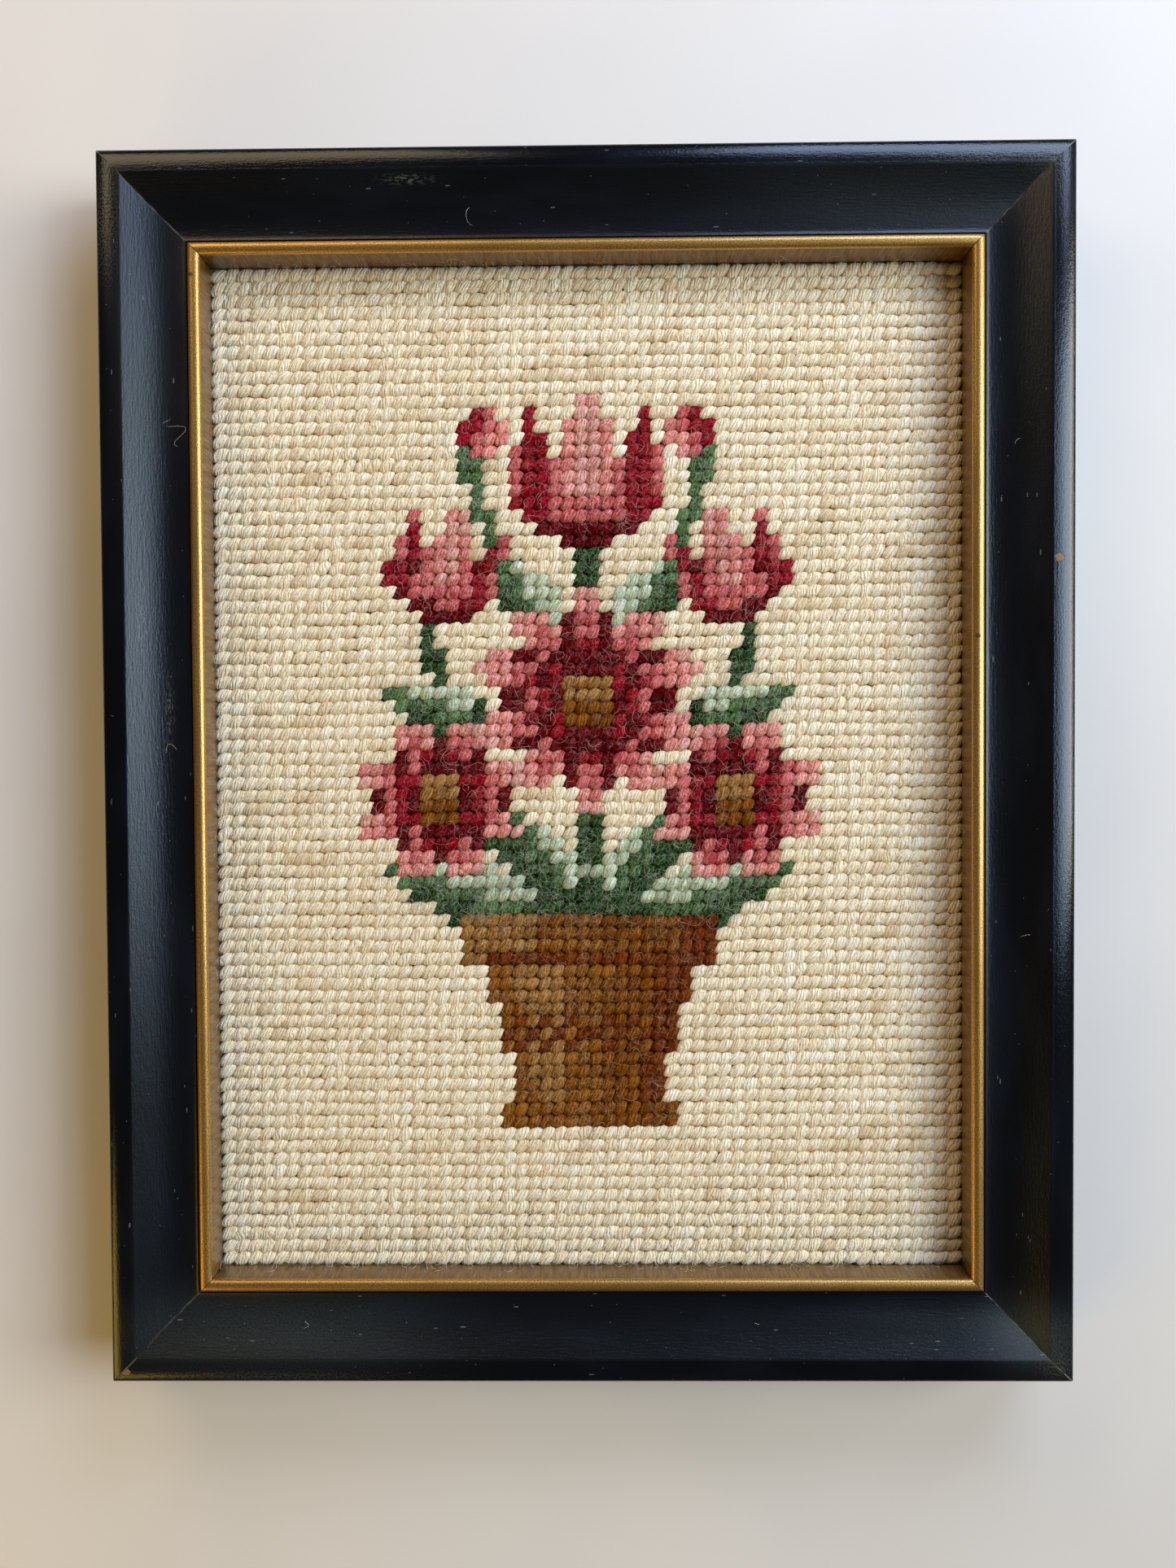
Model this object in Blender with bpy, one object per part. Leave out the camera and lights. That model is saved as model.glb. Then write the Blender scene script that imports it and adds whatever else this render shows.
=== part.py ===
"""A framed needlepoint: wool tent stitches behind the gilt sight edge of a black-painted wooden frame.

Metres, with +Z out of the picture and +Y towards its top. The origin is at the centre of the back,
so the frame lies face up on the plane z = 0.
"""

import math

import bmesh
import bpy
import numpy as np

# Gap that touching pieces keep
GAP = 0.0003

# Needlepoint: whole stitches in the sight opening, and the rows and columns hidden under its edge
COLUMN_PITCH = 0.146 / 58
ROW_PITCH = 0.196 / 79
SIGHT_COLUMNS = 58
SIGHT_ROWS = 79
HIDDEN_STITCHES = 2
SHEET_BACK = 0.0046
SHEET_THICKNESS = 0.0029
RIB_HEIGHT = 0.0006
BACK_RIB_HEIGHT = 0.0004
RIB_SWAY = 0.0003
SWAY_LENGTHS = (0.118, 0.067)
SHEET_DIVISIONS = 12

# Frame, measured across one moulding from its outer side inwards
SIGHT_WIDTH = SIGHT_COLUMNS * COLUMN_PITCH
SIGHT_HEIGHT = SIGHT_ROWS * ROW_PITCH
MOULDING_WIDTH = 0.0182
OUTER_WIDTH = SIGHT_WIDTH + 2 * MOULDING_WIDTH
OUTER_HEIGHT = SIGHT_HEIGHT + 2 * MOULDING_WIDTH

# Black rail: a low rounded nose outside, a cove falling inwards, and a rebate at the back
SHOULDER_HEIGHT = 0.0168
NOSE_HEIGHT = 0.0180
NOSE_CREST = 0.0043
NOSE_STEPS = 7
NOSE_INNER_RADIUS = 0.0010
NOSE_INNER_STEPS = 3
COVE_START_ANGLE = math.radians(31)
COVE_STEEP_HANDLE = (0.0084, 0.01569)
COVE_FLAT_HANDLE = (0.0112, 0.01385)
COVE_INNER_HEIGHT = 0.01395
COVE_STEPS = 12
RAIL_WIDTH = 0.0157
REBATE_START = 0.0128
REBATE_HEIGHT = 0.0105

# Gilt slip: a half-round bead over an upright wall, with a foot under the black rail's lip
BEAD_BASE_HEIGHT = 0.0136
BEAD_RISE = 0.0009
BEAD_STEPS = 8
SLIP_FOOT_HEIGHT = REBATE_HEIGHT - GAP
SLIP_BASE_HEIGHT = SHEET_BACK + SHEET_THICKNESS + GAP

# A slant cut at 45 degrees, half the gap to each side of the mitre, takes this off each end
MITRE_CLEARANCE = GAP / 2 * math.sqrt(2)

CREASE_ANGLE = math.radians(40)


def clear_scene():
    """Removes every object of the scene."""
    for old in list(bpy.data.objects):
        bpy.data.objects.remove(old, do_unlink=True)


def make_material(name, colour, roughness, metallic=0.0):
    """Returns a material of one linear colour."""
    material = bpy.data.materials.new(name)
    material.use_nodes = True
    shader = material.node_tree.nodes["Principled BSDF"]
    shader.inputs["Base Color"].default_value = (*colour, 1.0)
    shader.inputs["Roughness"].default_value = roughness
    shader.inputs["Metallic"].default_value = metallic
    return material


def ellipse_arc(centre, half_width, rise, first, last, steps):
    """Points (across, height) of an elliptical arc, from angle first to angle last."""
    angles = np.linspace(first, last, steps + 1)
    return [
        (centre[0] + half_width * math.cos(angle), centre[1] + rise * math.sin(angle)) for angle in angles
    ]


def bezier(start, handle, other_handle, end, steps):
    """Points (across, height) of a cubic curve after its start."""
    points = []
    for share in np.linspace(0, 1, steps + 1)[1:]:
        rest = 1 - share
        weights = (rest**3, 3 * rest**2 * share, 3 * rest * share**2, share**3)
        corners = (start, handle, other_handle, end)
        points.append(tuple(sum(w * c[axis] for w, c in zip(weights, corners)) for axis in (0, 1)))
    return points


def rail_section():
    """Outline of the black rail, from the outer back corner up and over its face."""
    nose = ellipse_arc(
        (NOSE_CREST, SHOULDER_HEIGHT),
        NOSE_CREST,
        NOSE_HEIGHT - SHOULDER_HEIGHT,
        math.pi,
        math.pi / 2,
        NOSE_STEPS,
    )
    nose += ellipse_arc(
        (NOSE_CREST, NOSE_HEIGHT - NOSE_INNER_RADIUS),
        NOSE_INNER_RADIUS,
        NOSE_INNER_RADIUS,
        math.pi / 2,
        math.pi / 2 - COVE_START_ANGLE,
        NOSE_INNER_STEPS,
    )[1:]
    inner_edge = (RAIL_WIDTH, COVE_INNER_HEIGHT)
    cove = bezier(nose[-1], COVE_STEEP_HANDLE, COVE_FLAT_HANDLE, inner_edge, COVE_STEPS)
    rebate = [
        (RAIL_WIDTH, REBATE_HEIGHT),
        (REBATE_START, REBATE_HEIGHT),
        (REBATE_START, 0.0),
    ]
    return [(0.0, 0.0), *nose, *cove, *rebate]


def slip_section():
    """Outline of the gilt slip, from the back of its foot up and over the bead."""
    outer = RAIL_WIDTH + GAP
    half_bead = (MOULDING_WIDTH - outer) / 2
    bead = ellipse_arc(
        (outer + half_bead, BEAD_BASE_HEIGHT),
        half_bead,
        BEAD_RISE,
        math.pi,
        0.0,
        BEAD_STEPS,
    )
    foot = REBATE_START + GAP
    return [
        (foot, SLIP_BASE_HEIGHT),
        (foot, SLIP_FOOT_HEIGHT),
        (outer, SLIP_FOOT_HEIGHT),
        *bead,
        (MOULDING_WIDTH, SLIP_BASE_HEIGHT),
    ]


def mitred_mesh(name, section, outer_length):
    """A straight length of a section along X, mitred at both ends.

    Its outer side is on y = 0, and its width runs towards -Y.
    """
    mesh = bpy.data.meshes.new(name)
    model = bmesh.new()
    rings = []
    for side in (-1, 1):
        ends = [outer_length / 2 - across - MITRE_CLEARANCE for across, _ in section]
        rings.append([
            model.verts.new((side * end, -across, height)) for end, (across, height) in zip(ends, section)
        ])
    left, right = rings
    for here in range(len(section)):
        after = (here + 1) % len(section)
        model.faces.new((left[here], left[after], right[after], right[here]))
    model.faces.new(left)
    model.faces.new(right)
    bmesh.ops.recalc_face_normals(model, faces=model.faces)
    model.to_mesh(mesh)
    model.free()
    mesh.shade_smooth()
    mesh.set_sharp_from_angle(angle=CREASE_ANGLE)
    return mesh


def sheet_mesh(name):
    """The stitched sheet, with a raised rib for each row, as uneven as rows worked by hand."""
    rows = SIGHT_ROWS + 2 * HIDDEN_STITCHES
    half_width = (SIGHT_COLUMNS + 2 * HIDDEN_STITCHES) * COLUMN_PITCH / 2
    half_height = rows * ROW_PITCH / 2
    front = SHEET_BACK + SHEET_THICKNESS
    xs = np.linspace(-half_width, half_width, SHEET_DIVISIONS + 1)
    lines = range(2 * rows + 1)
    mesh = bpy.data.meshes.new(name)
    model = bmesh.new()

    def sway(x, y):
        """How far a row wanders along Y: two slow waves that die out at the sheet's edges."""
        held = (1 - (x / half_width) ** 2) * (1 - (y / half_height) ** 2)
        waves = [math.sin(2 * math.pi * (x + y) / length) for length in SWAY_LENGTHS]
        return RIB_SWAY * held * sum(waves)

    face = []
    back = []
    for line in lines:
        in_groove = line % 2 == 0
        y = -half_height + line * ROW_PITCH / 2
        top = front - in_groove * RIB_HEIGHT
        under = SHEET_BACK + in_groove * BACK_RIB_HEIGHT
        face.append([model.verts.new((x, y + sway(x, y), top)) for x in xs])
        back.append([model.verts.new((x, y, under)) for x in (xs[0], xs[-1])])
    for line in lines[:-1]:
        low, high = face[line], face[line + 1]
        for column in range(SHEET_DIVISIONS):
            model.faces.new((low[column], low[column + 1], high[column + 1], high[column]))
        under, over = back[line], back[line + 1]
        model.faces.new((under[0], over[0], over[1], under[1]))
        model.faces.new((under[0], low[0], high[0], over[0]))
        model.faces.new((under[1], over[1], high[-1], low[-1]))
    model.faces.new((*back[0], *reversed(face[0])))
    model.faces.new((*reversed(back[-1]), *face[-1]))
    bmesh.ops.recalc_face_normals(model, faces=model.faces)
    model.to_mesh(mesh)
    model.free()
    return mesh


def add_object(name, mesh, material, location=(0.0, 0.0, 0.0), turn=0.0):
    """Puts a mesh in the scene, turned about Z."""
    if not mesh.materials:
        mesh.materials.append(material)
    piece = bpy.data.objects.new(name, mesh)
    piece.location = location
    piece.rotation_euler = (0.0, 0.0, turn)
    bpy.context.scene.collection.objects.link(piece)


def add_border(prefix, section, material):
    """Four mitred lengths of one section around the picture, opposite sides sharing a mesh."""
    across = mitred_mesh(f"{prefix}_across", section, OUTER_WIDTH)
    upright = mitred_mesh(f"{prefix}_upright", section, OUTER_HEIGHT)
    sides = (
        ("top", across, (0.0, OUTER_HEIGHT / 2, 0.0), 0.0),
        ("bottom", across, (0.0, -OUTER_HEIGHT / 2, 0.0), math.pi),
        ("left", upright, (-OUTER_WIDTH / 2, 0.0, 0.0), math.pi / 2),
        ("right", upright, (OUTER_WIDTH / 2, 0.0, 0.0), -math.pi / 2),
    )
    for side, mesh, location, turn in sides:
        add_object(f"{prefix}_{side}", mesh, material, location, turn)


def main():
    """Builds the frame's rails and slips around the stitched sheet."""
    clear_scene()
    black_paint = make_material("black_painted_wood", (0.006, 0.008, 0.013), 0.38)
    gilt = make_material("gilt_wood", (0.42, 0.25, 0.075), 0.35, 0.8)
    wool = make_material("cream_wool_on_canvas", (0.62, 0.53, 0.38), 0.9)
    add_border("rail", rail_section(), black_paint)
    add_border("slip", slip_section(), gilt)
    add_object("needlepoint", sheet_mesh("needlepoint"), wool)


main()
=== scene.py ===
"""Dresses the framed needlepoint: wool stitches on canvas, gilt slip, black-painted frame, and a studio.

Everything is in metres in the frame's own axes: +Z out of the picture, +Y towards its top, and the back
of the frame on z = 0. Sizes below are written in millimetres times MM.
"""

import logging
import math
from dataclasses import dataclass, field, fields, replace
from enum import Enum, IntEnum
from typing import Any

import bpy
import numpy as np
from mathutils import Euler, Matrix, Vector


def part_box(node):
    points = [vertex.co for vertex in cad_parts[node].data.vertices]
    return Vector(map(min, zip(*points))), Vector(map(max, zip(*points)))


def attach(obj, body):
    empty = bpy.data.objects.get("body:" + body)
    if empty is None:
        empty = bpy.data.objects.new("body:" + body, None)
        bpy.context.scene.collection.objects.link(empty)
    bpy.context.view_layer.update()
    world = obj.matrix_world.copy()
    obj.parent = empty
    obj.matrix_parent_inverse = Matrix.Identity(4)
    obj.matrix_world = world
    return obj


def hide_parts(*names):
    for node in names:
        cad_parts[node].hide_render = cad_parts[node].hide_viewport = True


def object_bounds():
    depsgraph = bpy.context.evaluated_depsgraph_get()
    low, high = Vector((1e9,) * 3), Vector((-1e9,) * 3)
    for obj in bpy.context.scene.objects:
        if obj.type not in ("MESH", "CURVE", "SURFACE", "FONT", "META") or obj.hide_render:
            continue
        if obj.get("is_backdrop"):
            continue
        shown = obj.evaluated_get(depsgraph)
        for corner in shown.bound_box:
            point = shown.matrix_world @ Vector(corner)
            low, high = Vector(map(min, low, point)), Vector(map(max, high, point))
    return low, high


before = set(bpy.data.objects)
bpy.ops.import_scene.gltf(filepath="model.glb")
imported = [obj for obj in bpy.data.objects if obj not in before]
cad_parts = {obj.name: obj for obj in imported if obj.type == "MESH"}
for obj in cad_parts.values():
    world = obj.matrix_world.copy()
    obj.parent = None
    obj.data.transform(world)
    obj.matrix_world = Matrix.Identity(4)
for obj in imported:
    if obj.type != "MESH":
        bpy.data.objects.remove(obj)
CAD_LOW, CAD_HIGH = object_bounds()

MM = 0.001
BODY = "root"

Point = tuple[float, float]

log = logging.getLogger("framed_needlepoint")


def linear(hex_code: str) -> tuple[float, float, float, float]:
    """Turns an sRGB hex colour into a linear colour with full alpha.

    Args:
        hex_code: six hex digits, with or without a leading hash.

    Returns:
        Red, green, blue and alpha, each from 0 to 1.
    """
    digits = hex_code.lstrip("#")
    shares = [int(digits[at : at + 2], 16) / 255 for at in (0, 2, 4)]
    curve = [share / 12.92 if share <= 0.04045 else ((share + 0.055) / 1.055) ** 2.4 for share in shares]
    return (*curve, 1.0)


def add_node(
    tree: bpy.types.NodeTree, kind: str, *values: Any, named: dict[str, Any] | None = None, **settings: Any
) -> bpy.types.Node:
    """Adds a shader node with its settings, values and links.

    A value is a number, a colour, another node's output, or another node, whose first output in use is
    then taken.

    Args:
        tree: the material's node tree.
        kind: the node's type, without the word ShaderNode before it.
        values: values for the inputs in use, in their order.
        named: values for single inputs by their names.
        settings: values for the node's own properties.

    Returns:
        The new node.
    """
    made = tree.nodes.new(f"ShaderNode{kind}")
    for name, value in settings.items():
        setattr(made, name, value)
    in_use = [socket for socket in made.inputs if socket.enabled]
    by_name = [(made.inputs[name], value) for name, value in (named or {}).items()]
    for socket, value in [*zip(in_use, values), *by_name]:
        if isinstance(value, bpy.types.Node):
            value = next(output for output in value.outputs if output.enabled)
        if isinstance(value, bpy.types.NodeSocket):
            tree.links.new(value, socket)
        else:
            socket.default_value = value
    return made


def start_material(name: str) -> tuple[bpy.types.Material, bpy.types.NodeTree]:
    """Makes an empty node material.

    Args:
        name: the material's name.

    Returns:
        The material and its tree.
    """
    material = bpy.data.materials.new(name)
    material.use_nodes = True
    material.node_tree.nodes.clear()
    return material, material.node_tree


def soft_grains(
    tree: bpy.types.NodeTree, where: Any, across: tuple, detail: float = 2.0, rough: float = 0.5
) -> bpy.types.Node:
    """Lays soft random grains of a real size: the place is divided by that size before noise reads it.

    Args:
        tree: the material's node tree.
        where: coordinates in metres.
        across: the grain's size along each coordinate, in metres.
        detail: octaves of finer noise.
        rough: how strong the finer octaves are.

    Returns:
        A value that is about 0.5 on average.
    """
    placed = add_node(tree, "Mapping", where, named={"Scale": tuple(1.0 / size for size in across)})
    return add_node(tree, "TexNoise", placed, 1.0, detail, rough)


@dataclass
class Surface:
    """The points and faces of one piece, worked out as arrays.

    Attributes:
        points: one row of x, y and z for each point.
        corners: the point at each face corner, face after face.
        sizes: how many corners each face has.
        maps: named maps with one u and v for each face corner.
        values: named numbers, one for each point.
        slots: the material slot of each face.
    """

    points: np.ndarray
    corners: np.ndarray
    sizes: np.ndarray
    maps: dict[str, np.ndarray] = field(default_factory=dict)
    values: dict[str, np.ndarray] = field(default_factory=dict)
    slots: np.ndarray | None = None

    def to_object(
        self, name: str, materials: list[bpy.types.Material], crease: float | None = None
    ) -> bpy.types.Object:
        """Puts the surface into a mesh object at the origin.

        Args:
            name: the piece's name.
            materials: one material for each slot.
            crease: the angle past which an edge stays sharp, or None for none.

        Returns:
            The object, linked to the scene.
        """
        mesh = bpy.data.meshes.new(name)
        mesh.vertices.add(len(self.points))
        mesh.vertices.foreach_set("co", np.ascontiguousarray(self.points, np.float32).ravel())
        mesh.loops.add(len(self.corners))
        mesh.loops.foreach_set("vertex_index", self.corners.astype(np.int32))
        mesh.polygons.add(len(self.sizes))
        starts = np.concatenate([[0], np.cumsum(self.sizes)[:-1]]).astype(np.int32)
        mesh.polygons.foreach_set("loop_start", starts)
        for label, flat in self.maps.items():
            layer = mesh.uv_layers.new(name=label)
            layer.data.foreach_set("uv", np.ascontiguousarray(flat, np.float32).ravel())
        for label, numbers in self.values.items():
            layer = mesh.attributes.new(label, "FLOAT", "POINT")
            layer.data.foreach_set("value", np.ascontiguousarray(numbers, np.float32))
        for material in materials:
            mesh.materials.append(material)
        if self.slots is not None:
            mesh.polygons.foreach_set("material_index", self.slots.astype(np.int32))
        mesh.update(calc_edges=True)
        mesh.validate()
        mesh.shade_smooth()
        if crease is not None:
            mesh.set_sharp_from_angle(angle=crease)
        piece = bpy.data.objects.new(name, mesh)
        bpy.context.scene.collection.objects.link(piece)
        return piece


def join_rings(rings: np.ndarray, ends: np.ndarray) -> tuple[np.ndarray, np.ndarray, np.ndarray]:
    """Covers many closed tubes, each with the same rings of points and a pointed end before and after them.

    Args:
        rings: points as (tube, ring, point round the ring, xyz), from the tube's right side over its top.
        ends: the two end points of each tube, as (tube, 2, xyz).

    Returns:
        The points, the point at each face corner and the size of each face. Quads come first, ring by ring.
    """
    tubes, count, around, _ = rings.shape
    stride = count * around + 2
    points = np.concatenate([rings.reshape(tubes, -1, 3), ends], axis=1).reshape(-1, 3)
    ring, at = np.meshgrid(np.arange(count - 1), np.arange(around), indexing="ij")
    after = (at + 1) % around
    low, high = ring * around, (ring + 1) * around
    quads = np.stack([low + at, high + at, high + after, low + after], axis=-1).reshape(-1)
    spot = np.arange(around)
    follow = (spot + 1) % around
    first = np.stack([np.full(around, stride - 2), spot, follow], axis=-1).reshape(-1)
    last = (count - 1) * around
    final = np.stack([np.full(around, stride - 1), last + follow, last + spot], axis=-1).reshape(-1)
    one = np.concatenate([quads, first, final])
    corners = (one[None, :] + stride * np.arange(tubes)[:, None]).reshape(-1)
    sizes = np.tile(np.concatenate([np.full(len(quads) // 4, 4), np.full(2 * around, 3)]), tubes)
    return points, corners, sizes


def ring_map(along: np.ndarray, turns: np.ndarray, tubes: int) -> tuple[np.ndarray, np.ndarray]:
    """The place on the tube of each face corner that join_rings makes, unbroken where the ring closes.

    Args:
        along: the share of the tube's length at each ring, with the two ends added before and after.
        turns: the angle of each point of a ring as a share of a turn, with 1 added at its end.
        tubes: how many tubes there are.

    Returns:
        The share along and the share of a turn, each as (tube, corner of one tube).
    """
    count, around = len(along) - 2, len(turns) - 1
    ring, at = np.meshgrid(np.arange(count - 1), np.arange(around), indexing="ij")
    run = np.stack([ring, ring + 1, ring + 1, ring], axis=-1).reshape(-1) + 1
    turn = np.stack([at, at, at + 1, at + 1], axis=-1).reshape(-1)
    spot = np.arange(around)
    for pole, inner, order in ((0, 1, (0, 0, 1)), (count + 1, count, (0, 1, 0))):
        run = np.concatenate([run, np.tile([pole, inner, inner], around)])
        turn = np.concatenate([turn, np.stack([spot + step for step in order], axis=-1).reshape(-1)])
    return np.tile(along[run], (tubes, 1)), np.tile(turns[turn], (tubes, 1))


def slow_waves(x: np.ndarray, y: np.ndarray, length: float, seed: int, count: int = 5) -> np.ndarray:
    """Smooth unevenness over the picture: a few sine waves of about one length in random directions.

    Args:
        x: places along X, in metres.
        y: places along Y, in metres.
        length: the waves' typical length, in metres.
        seed: the seed of their directions and phases.
        count: how many waves are added.

    Returns:
        Values mostly between -1 and 1.
    """
    random = np.random.default_rng(seed)
    total = np.zeros(np.broadcast(x, y).shape)
    for _ in range(count):
        heading, phase = random.uniform(0, 2 * np.pi, 2)
        number = 2 * np.pi / (length * random.uniform(0.6, 1.5))
        total += np.sin(number * (x * np.cos(heading) + y * np.sin(heading)) + phase)
    return total / math.sqrt(count)


@dataclass(frozen=True)
class Layout:
    """Where the pieces stand, read from the solids.

    Attributes:
        outer: half the frame's width and height.
        sight: half the opening's width and height.
        sheet: half the stitched sheet's width and height.
        sheet_back: the height of the sheet's back above the frame's back.
        sheet_front: the height of its front.
        rail_top: the height of the rails' noses.
        slip_top: the height of the gilt bead.
    """

    outer: Point
    sight: Point
    sheet: Point
    sheet_back: float
    sheet_front: float
    rail_top: float
    slip_top: float

    @classmethod
    def from_frame(cls) -> "Layout":
        """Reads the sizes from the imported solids.

        Returns:
            The layout.
        """
        sheet_low, sheet_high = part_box("needlepoint")
        right_low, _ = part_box("slip_right")
        top_low, top_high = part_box("slip_top")
        return cls(
            outer=(CAD_HIGH[0], CAD_HIGH[1]),
            sight=(right_low[0], top_low[1]),
            sheet=(sheet_high[0], sheet_high[1]),
            sheet_back=sheet_low[2],
            sheet_front=sheet_high[2],
            rail_top=CAD_HIGH[2],
            slip_top=top_high[2],
        )


class Yarn(IntEnum):
    """The wools of the picture."""

    CREAM = 0
    WINE = 1
    CRIMSON = 2
    ROSE = 3
    PINK = 4
    SHELL = 5
    PINE = 6
    FERN = 7
    SAGE = 8
    PLUM = 9
    UMBER = 10
    TAN = 11
    HONEY = 12


@dataclass(frozen=True)
class WoolYarn:
    """Tapestry wool: plied, dyed and a little hairy, so it scatters light and shines only along its fibres.

    Attributes:
        name: the material's name.
        body: the dyed colour.
        light: the colour of fibres that catch the light, painted as highlights on the ply crests.
        deep: the colour of painted shade between the plies and down in the grooves, where dust has settled
            too.
        loose: the colour of loose fibres, paler since so little dye is in the way of the light.
        hairy: how much its loose fibres show, from 0 to 1.
        ply: the width of a ply's ridge.
        wander: how far the plies stray from straight lines, in radians of their wave.
        fibre: the width and length of a bundle of fibres, since single ones are too fine to show.
    """

    name: str
    body: str
    light: str
    deep: str
    loose: str
    hairy: float
    ply: float = 0.65 * MM
    wander: float = 9.0
    fibre: Point = (0.34 * MM, 2.4 * MM)

    def build(self) -> bpy.types.Material:
        """Makes the material. It reads the map "yarn", across and along the strand, and two values.

        A ply is the absolute value of a sine across the strand: a rounded ridge between two sharp creases.
        Each colour is laid over those before it as far as its value has gone from one limit to the other.

        Returns:
            The material.
        """
        material, tree = start_material(self.name)
        place = add_node(tree, "UVMap", uv_map="yarn")
        tone, sunk = (
            add_node(tree, "Attribute", attribute_name=name).outputs["Fac"] for name in ("tone", "sunk")
        )
        stray = soft_grains(tree, place, (1.4 * MM, 3.0 * MM, 1.0), 1.0)
        stray = add_node(tree, "Math", stray, self.wander, operation="MULTIPLY")
        across = add_node(tree, "SeparateXYZ", place)
        phase = add_node(tree, "Math", across, math.pi / self.ply, stray, operation="MULTIPLY_ADD")
        sine = add_node(tree, "Math", phase, operation="SINE")
        ridge = add_node(tree, "Math", sine, operation="ABSOLUTE")
        streaks = soft_grains(tree, place, (*self.fibre, 1.0), 2.0, 0.6)
        fuzz = soft_grains(tree, place, (0.3 * MM, 0.4 * MM, 1.0), 2.0, 0.7)
        # Each reads a value, the limits that it is eased between, and what it gives at them
        crease, streak_shade, gleam, crown_highlight, fuzz_light, fuzz_deep, paler, darker, low = (
            add_node(tree, "MapRange", *limits, interpolation_type="SMOOTHSTEP")
            for limits in (
                (ridge, 0.5, 0.05, 0.0, 0.55),
                (streaks, 0.48, 0.36, 0.0, 0.7),
                (streaks, 0.5, 0.6, 0.0, 1.0),
                (ridge, 0.1, 0.7, 0.2, 0.95),
                (fuzz, 0.52, 0.7, 0.0, 0.3),
                (fuzz, 0.46, 0.3, 0.0, 0.3),
                (tone, 0.0, 1.0, 0.0, 0.6),
                (tone, 0.0, -1.0, 0.0, 0.6),
                (sunk, 0.2, 0.85, 0.0, 0.85),
            )
        )
        layers = (
            # Painted shade in the creases between plies and along dark fibre streaks
            (add_node(tree, "Math", streak_shade, crease, operation="MAXIMUM"), self.deep),
            # Painted highlight on the ply crests where the fibre streaks are bright
            (add_node(tree, "Math", gleam, crown_highlight, operation="MULTIPLY"), self.light),
            # Dark curls: painted shadow lines beside the loose fibres
            (self.curls(tree, 0.8 * MM, 3.0), self.deep),
            (self.curls(tree, 1.3 * MM, 0.0), self.loose),
            (self.curls(tree, 1.0 * MM, 5.0), self.loose),
            (fuzz_light, self.light),
            (fuzz_deep, self.deep),
            (paler, self.light),
            (darker, self.deep),
            # Painted shade low in the grooves, darker the more sunk the point is
            (low, self.deep),
        )
        colour = linear(self.body)
        for share, tint in layers:
            colour = add_node(tree, "Mix", share, colour, linear(tint), data_type="RGBA")
        plies = add_node(tree, "Math", ridge, 0.5, streaks, operation="MULTIPLY_ADD")
        relief = {}
        for height, depth, strength in ((plies, 0.3 * MM, 0.8), (fuzz, 0.25 * MM, 0.7)):
            shape = {"Height": height, "Distance": depth, "Strength": strength}
            relief = {"Normal": add_node(tree, "Bump", named=shape | relief)}
        look = {
            "Base Color": colour,
            "Roughness": 0.9,
            "Specular IOR Level": 0.05,
            "Sheen Weight": 0.12,
            "Sheen Roughness": 0.5,
            "Sheen Tint": linear(self.light),
        }
        add_node(tree, "OutputMaterial", add_node(tree, "BsdfPrincipled", named=look | relief))
        return material

    def curls(self, tree: bpy.types.NodeTree, size: float, shift: float) -> bpy.types.Node:
        """Curled loose fibres over the stitches: fine lines where a soft noise is near its middle value.

        Args:
            tree: the material's node tree.
            size: how wide the curls are.
            shift: how far the pattern is moved, so that no two layers of curls are the same.

        Returns:
            How much a fibre shows, which is zero beside it.
        """
        here = add_node(tree, "TexCoord").outputs["Object"]
        moved = add_node(tree, "VectorMath", here, (shift, shift, shift))
        waves = soft_grains(tree, moved, (size, size, 4.0 * MM), 1.5, 0.6)
        gaps = soft_grains(tree, moved, (2 * size, 2 * size, 4.0 * MM), 1.0)
        middle = add_node(tree, "Math", waves, 0.5, operation="SUBTRACT")
        away = add_node(tree, "Math", middle, operation="ABSOLUTE")
        line = add_node(tree, "MapRange", away, 0.05, 0.015, interpolation_type="SMOOTHSTEP")
        most = add_node(tree, "MapRange", gaps, 0.36, 0.5, 0.0, self.hairy, interpolation_type="SMOOTHSTEP")
        return add_node(tree, "Math", line, most, operation="MULTIPLY")


WOOLS: dict[Yarn, WoolYarn] = {
    Yarn.CREAM: WoolYarn("cream_wool", "FFF0C8", "FFFEEC", "CCAC7C", "FFFCEA", 0.4),
    Yarn.WINE: WoolYarn("wine_wool", "5B0104", "760410", "2F0001", "CE8C8C", 0.14),
    Yarn.CRIMSON: WoolYarn("crimson_wool", "8A0418", "AE172E", "510103", "DE9090", 0.16),
    Yarn.ROSE: WoolYarn("rose_wool", "C75153", "EA8383", "852525", "F0BEB4", 0.35),
    Yarn.PINK: WoolYarn("pink_wool", "E98178", "FFB7AD", "A2443B", "FADCD2", 0.45),
    Yarn.SHELL: WoolYarn("shell_pink_wool", "E09182", "F8C1B3", "A0594B", "FCE8E0", 0.4),
    Yarn.PINE: WoolYarn("dark_green_wool", "18360E", "3C6429", "061602", "A6BAA0", 0.2),
    Yarn.FERN: WoolYarn("green_wool", "3A5D30", "6E925D", "182E12", "B4C8AA", 0.28),
    Yarn.SAGE: WoolYarn("light_green_wool", "CADFB1", "FFFFF8", "829267", "E0ECD4", 0.5),
    Yarn.PLUM: WoolYarn("plum_brown_wool", "652502", "87420B", "320B00", "B08A66", 0.18),
    Yarn.UMBER: WoolYarn("dark_brown_wool", "753D04", "9B600F", "3C1801", "BA946A", 0.18),
    Yarn.TAN: WoolYarn("brown_wool", "7E470C", "A86D22", "451F02", "C6A478", 0.25),
    Yarn.HONEY: WoolYarn("light_brown_wool", "956428", "C0904E", "57310D", "D2B48C", 0.3),
}


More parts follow.
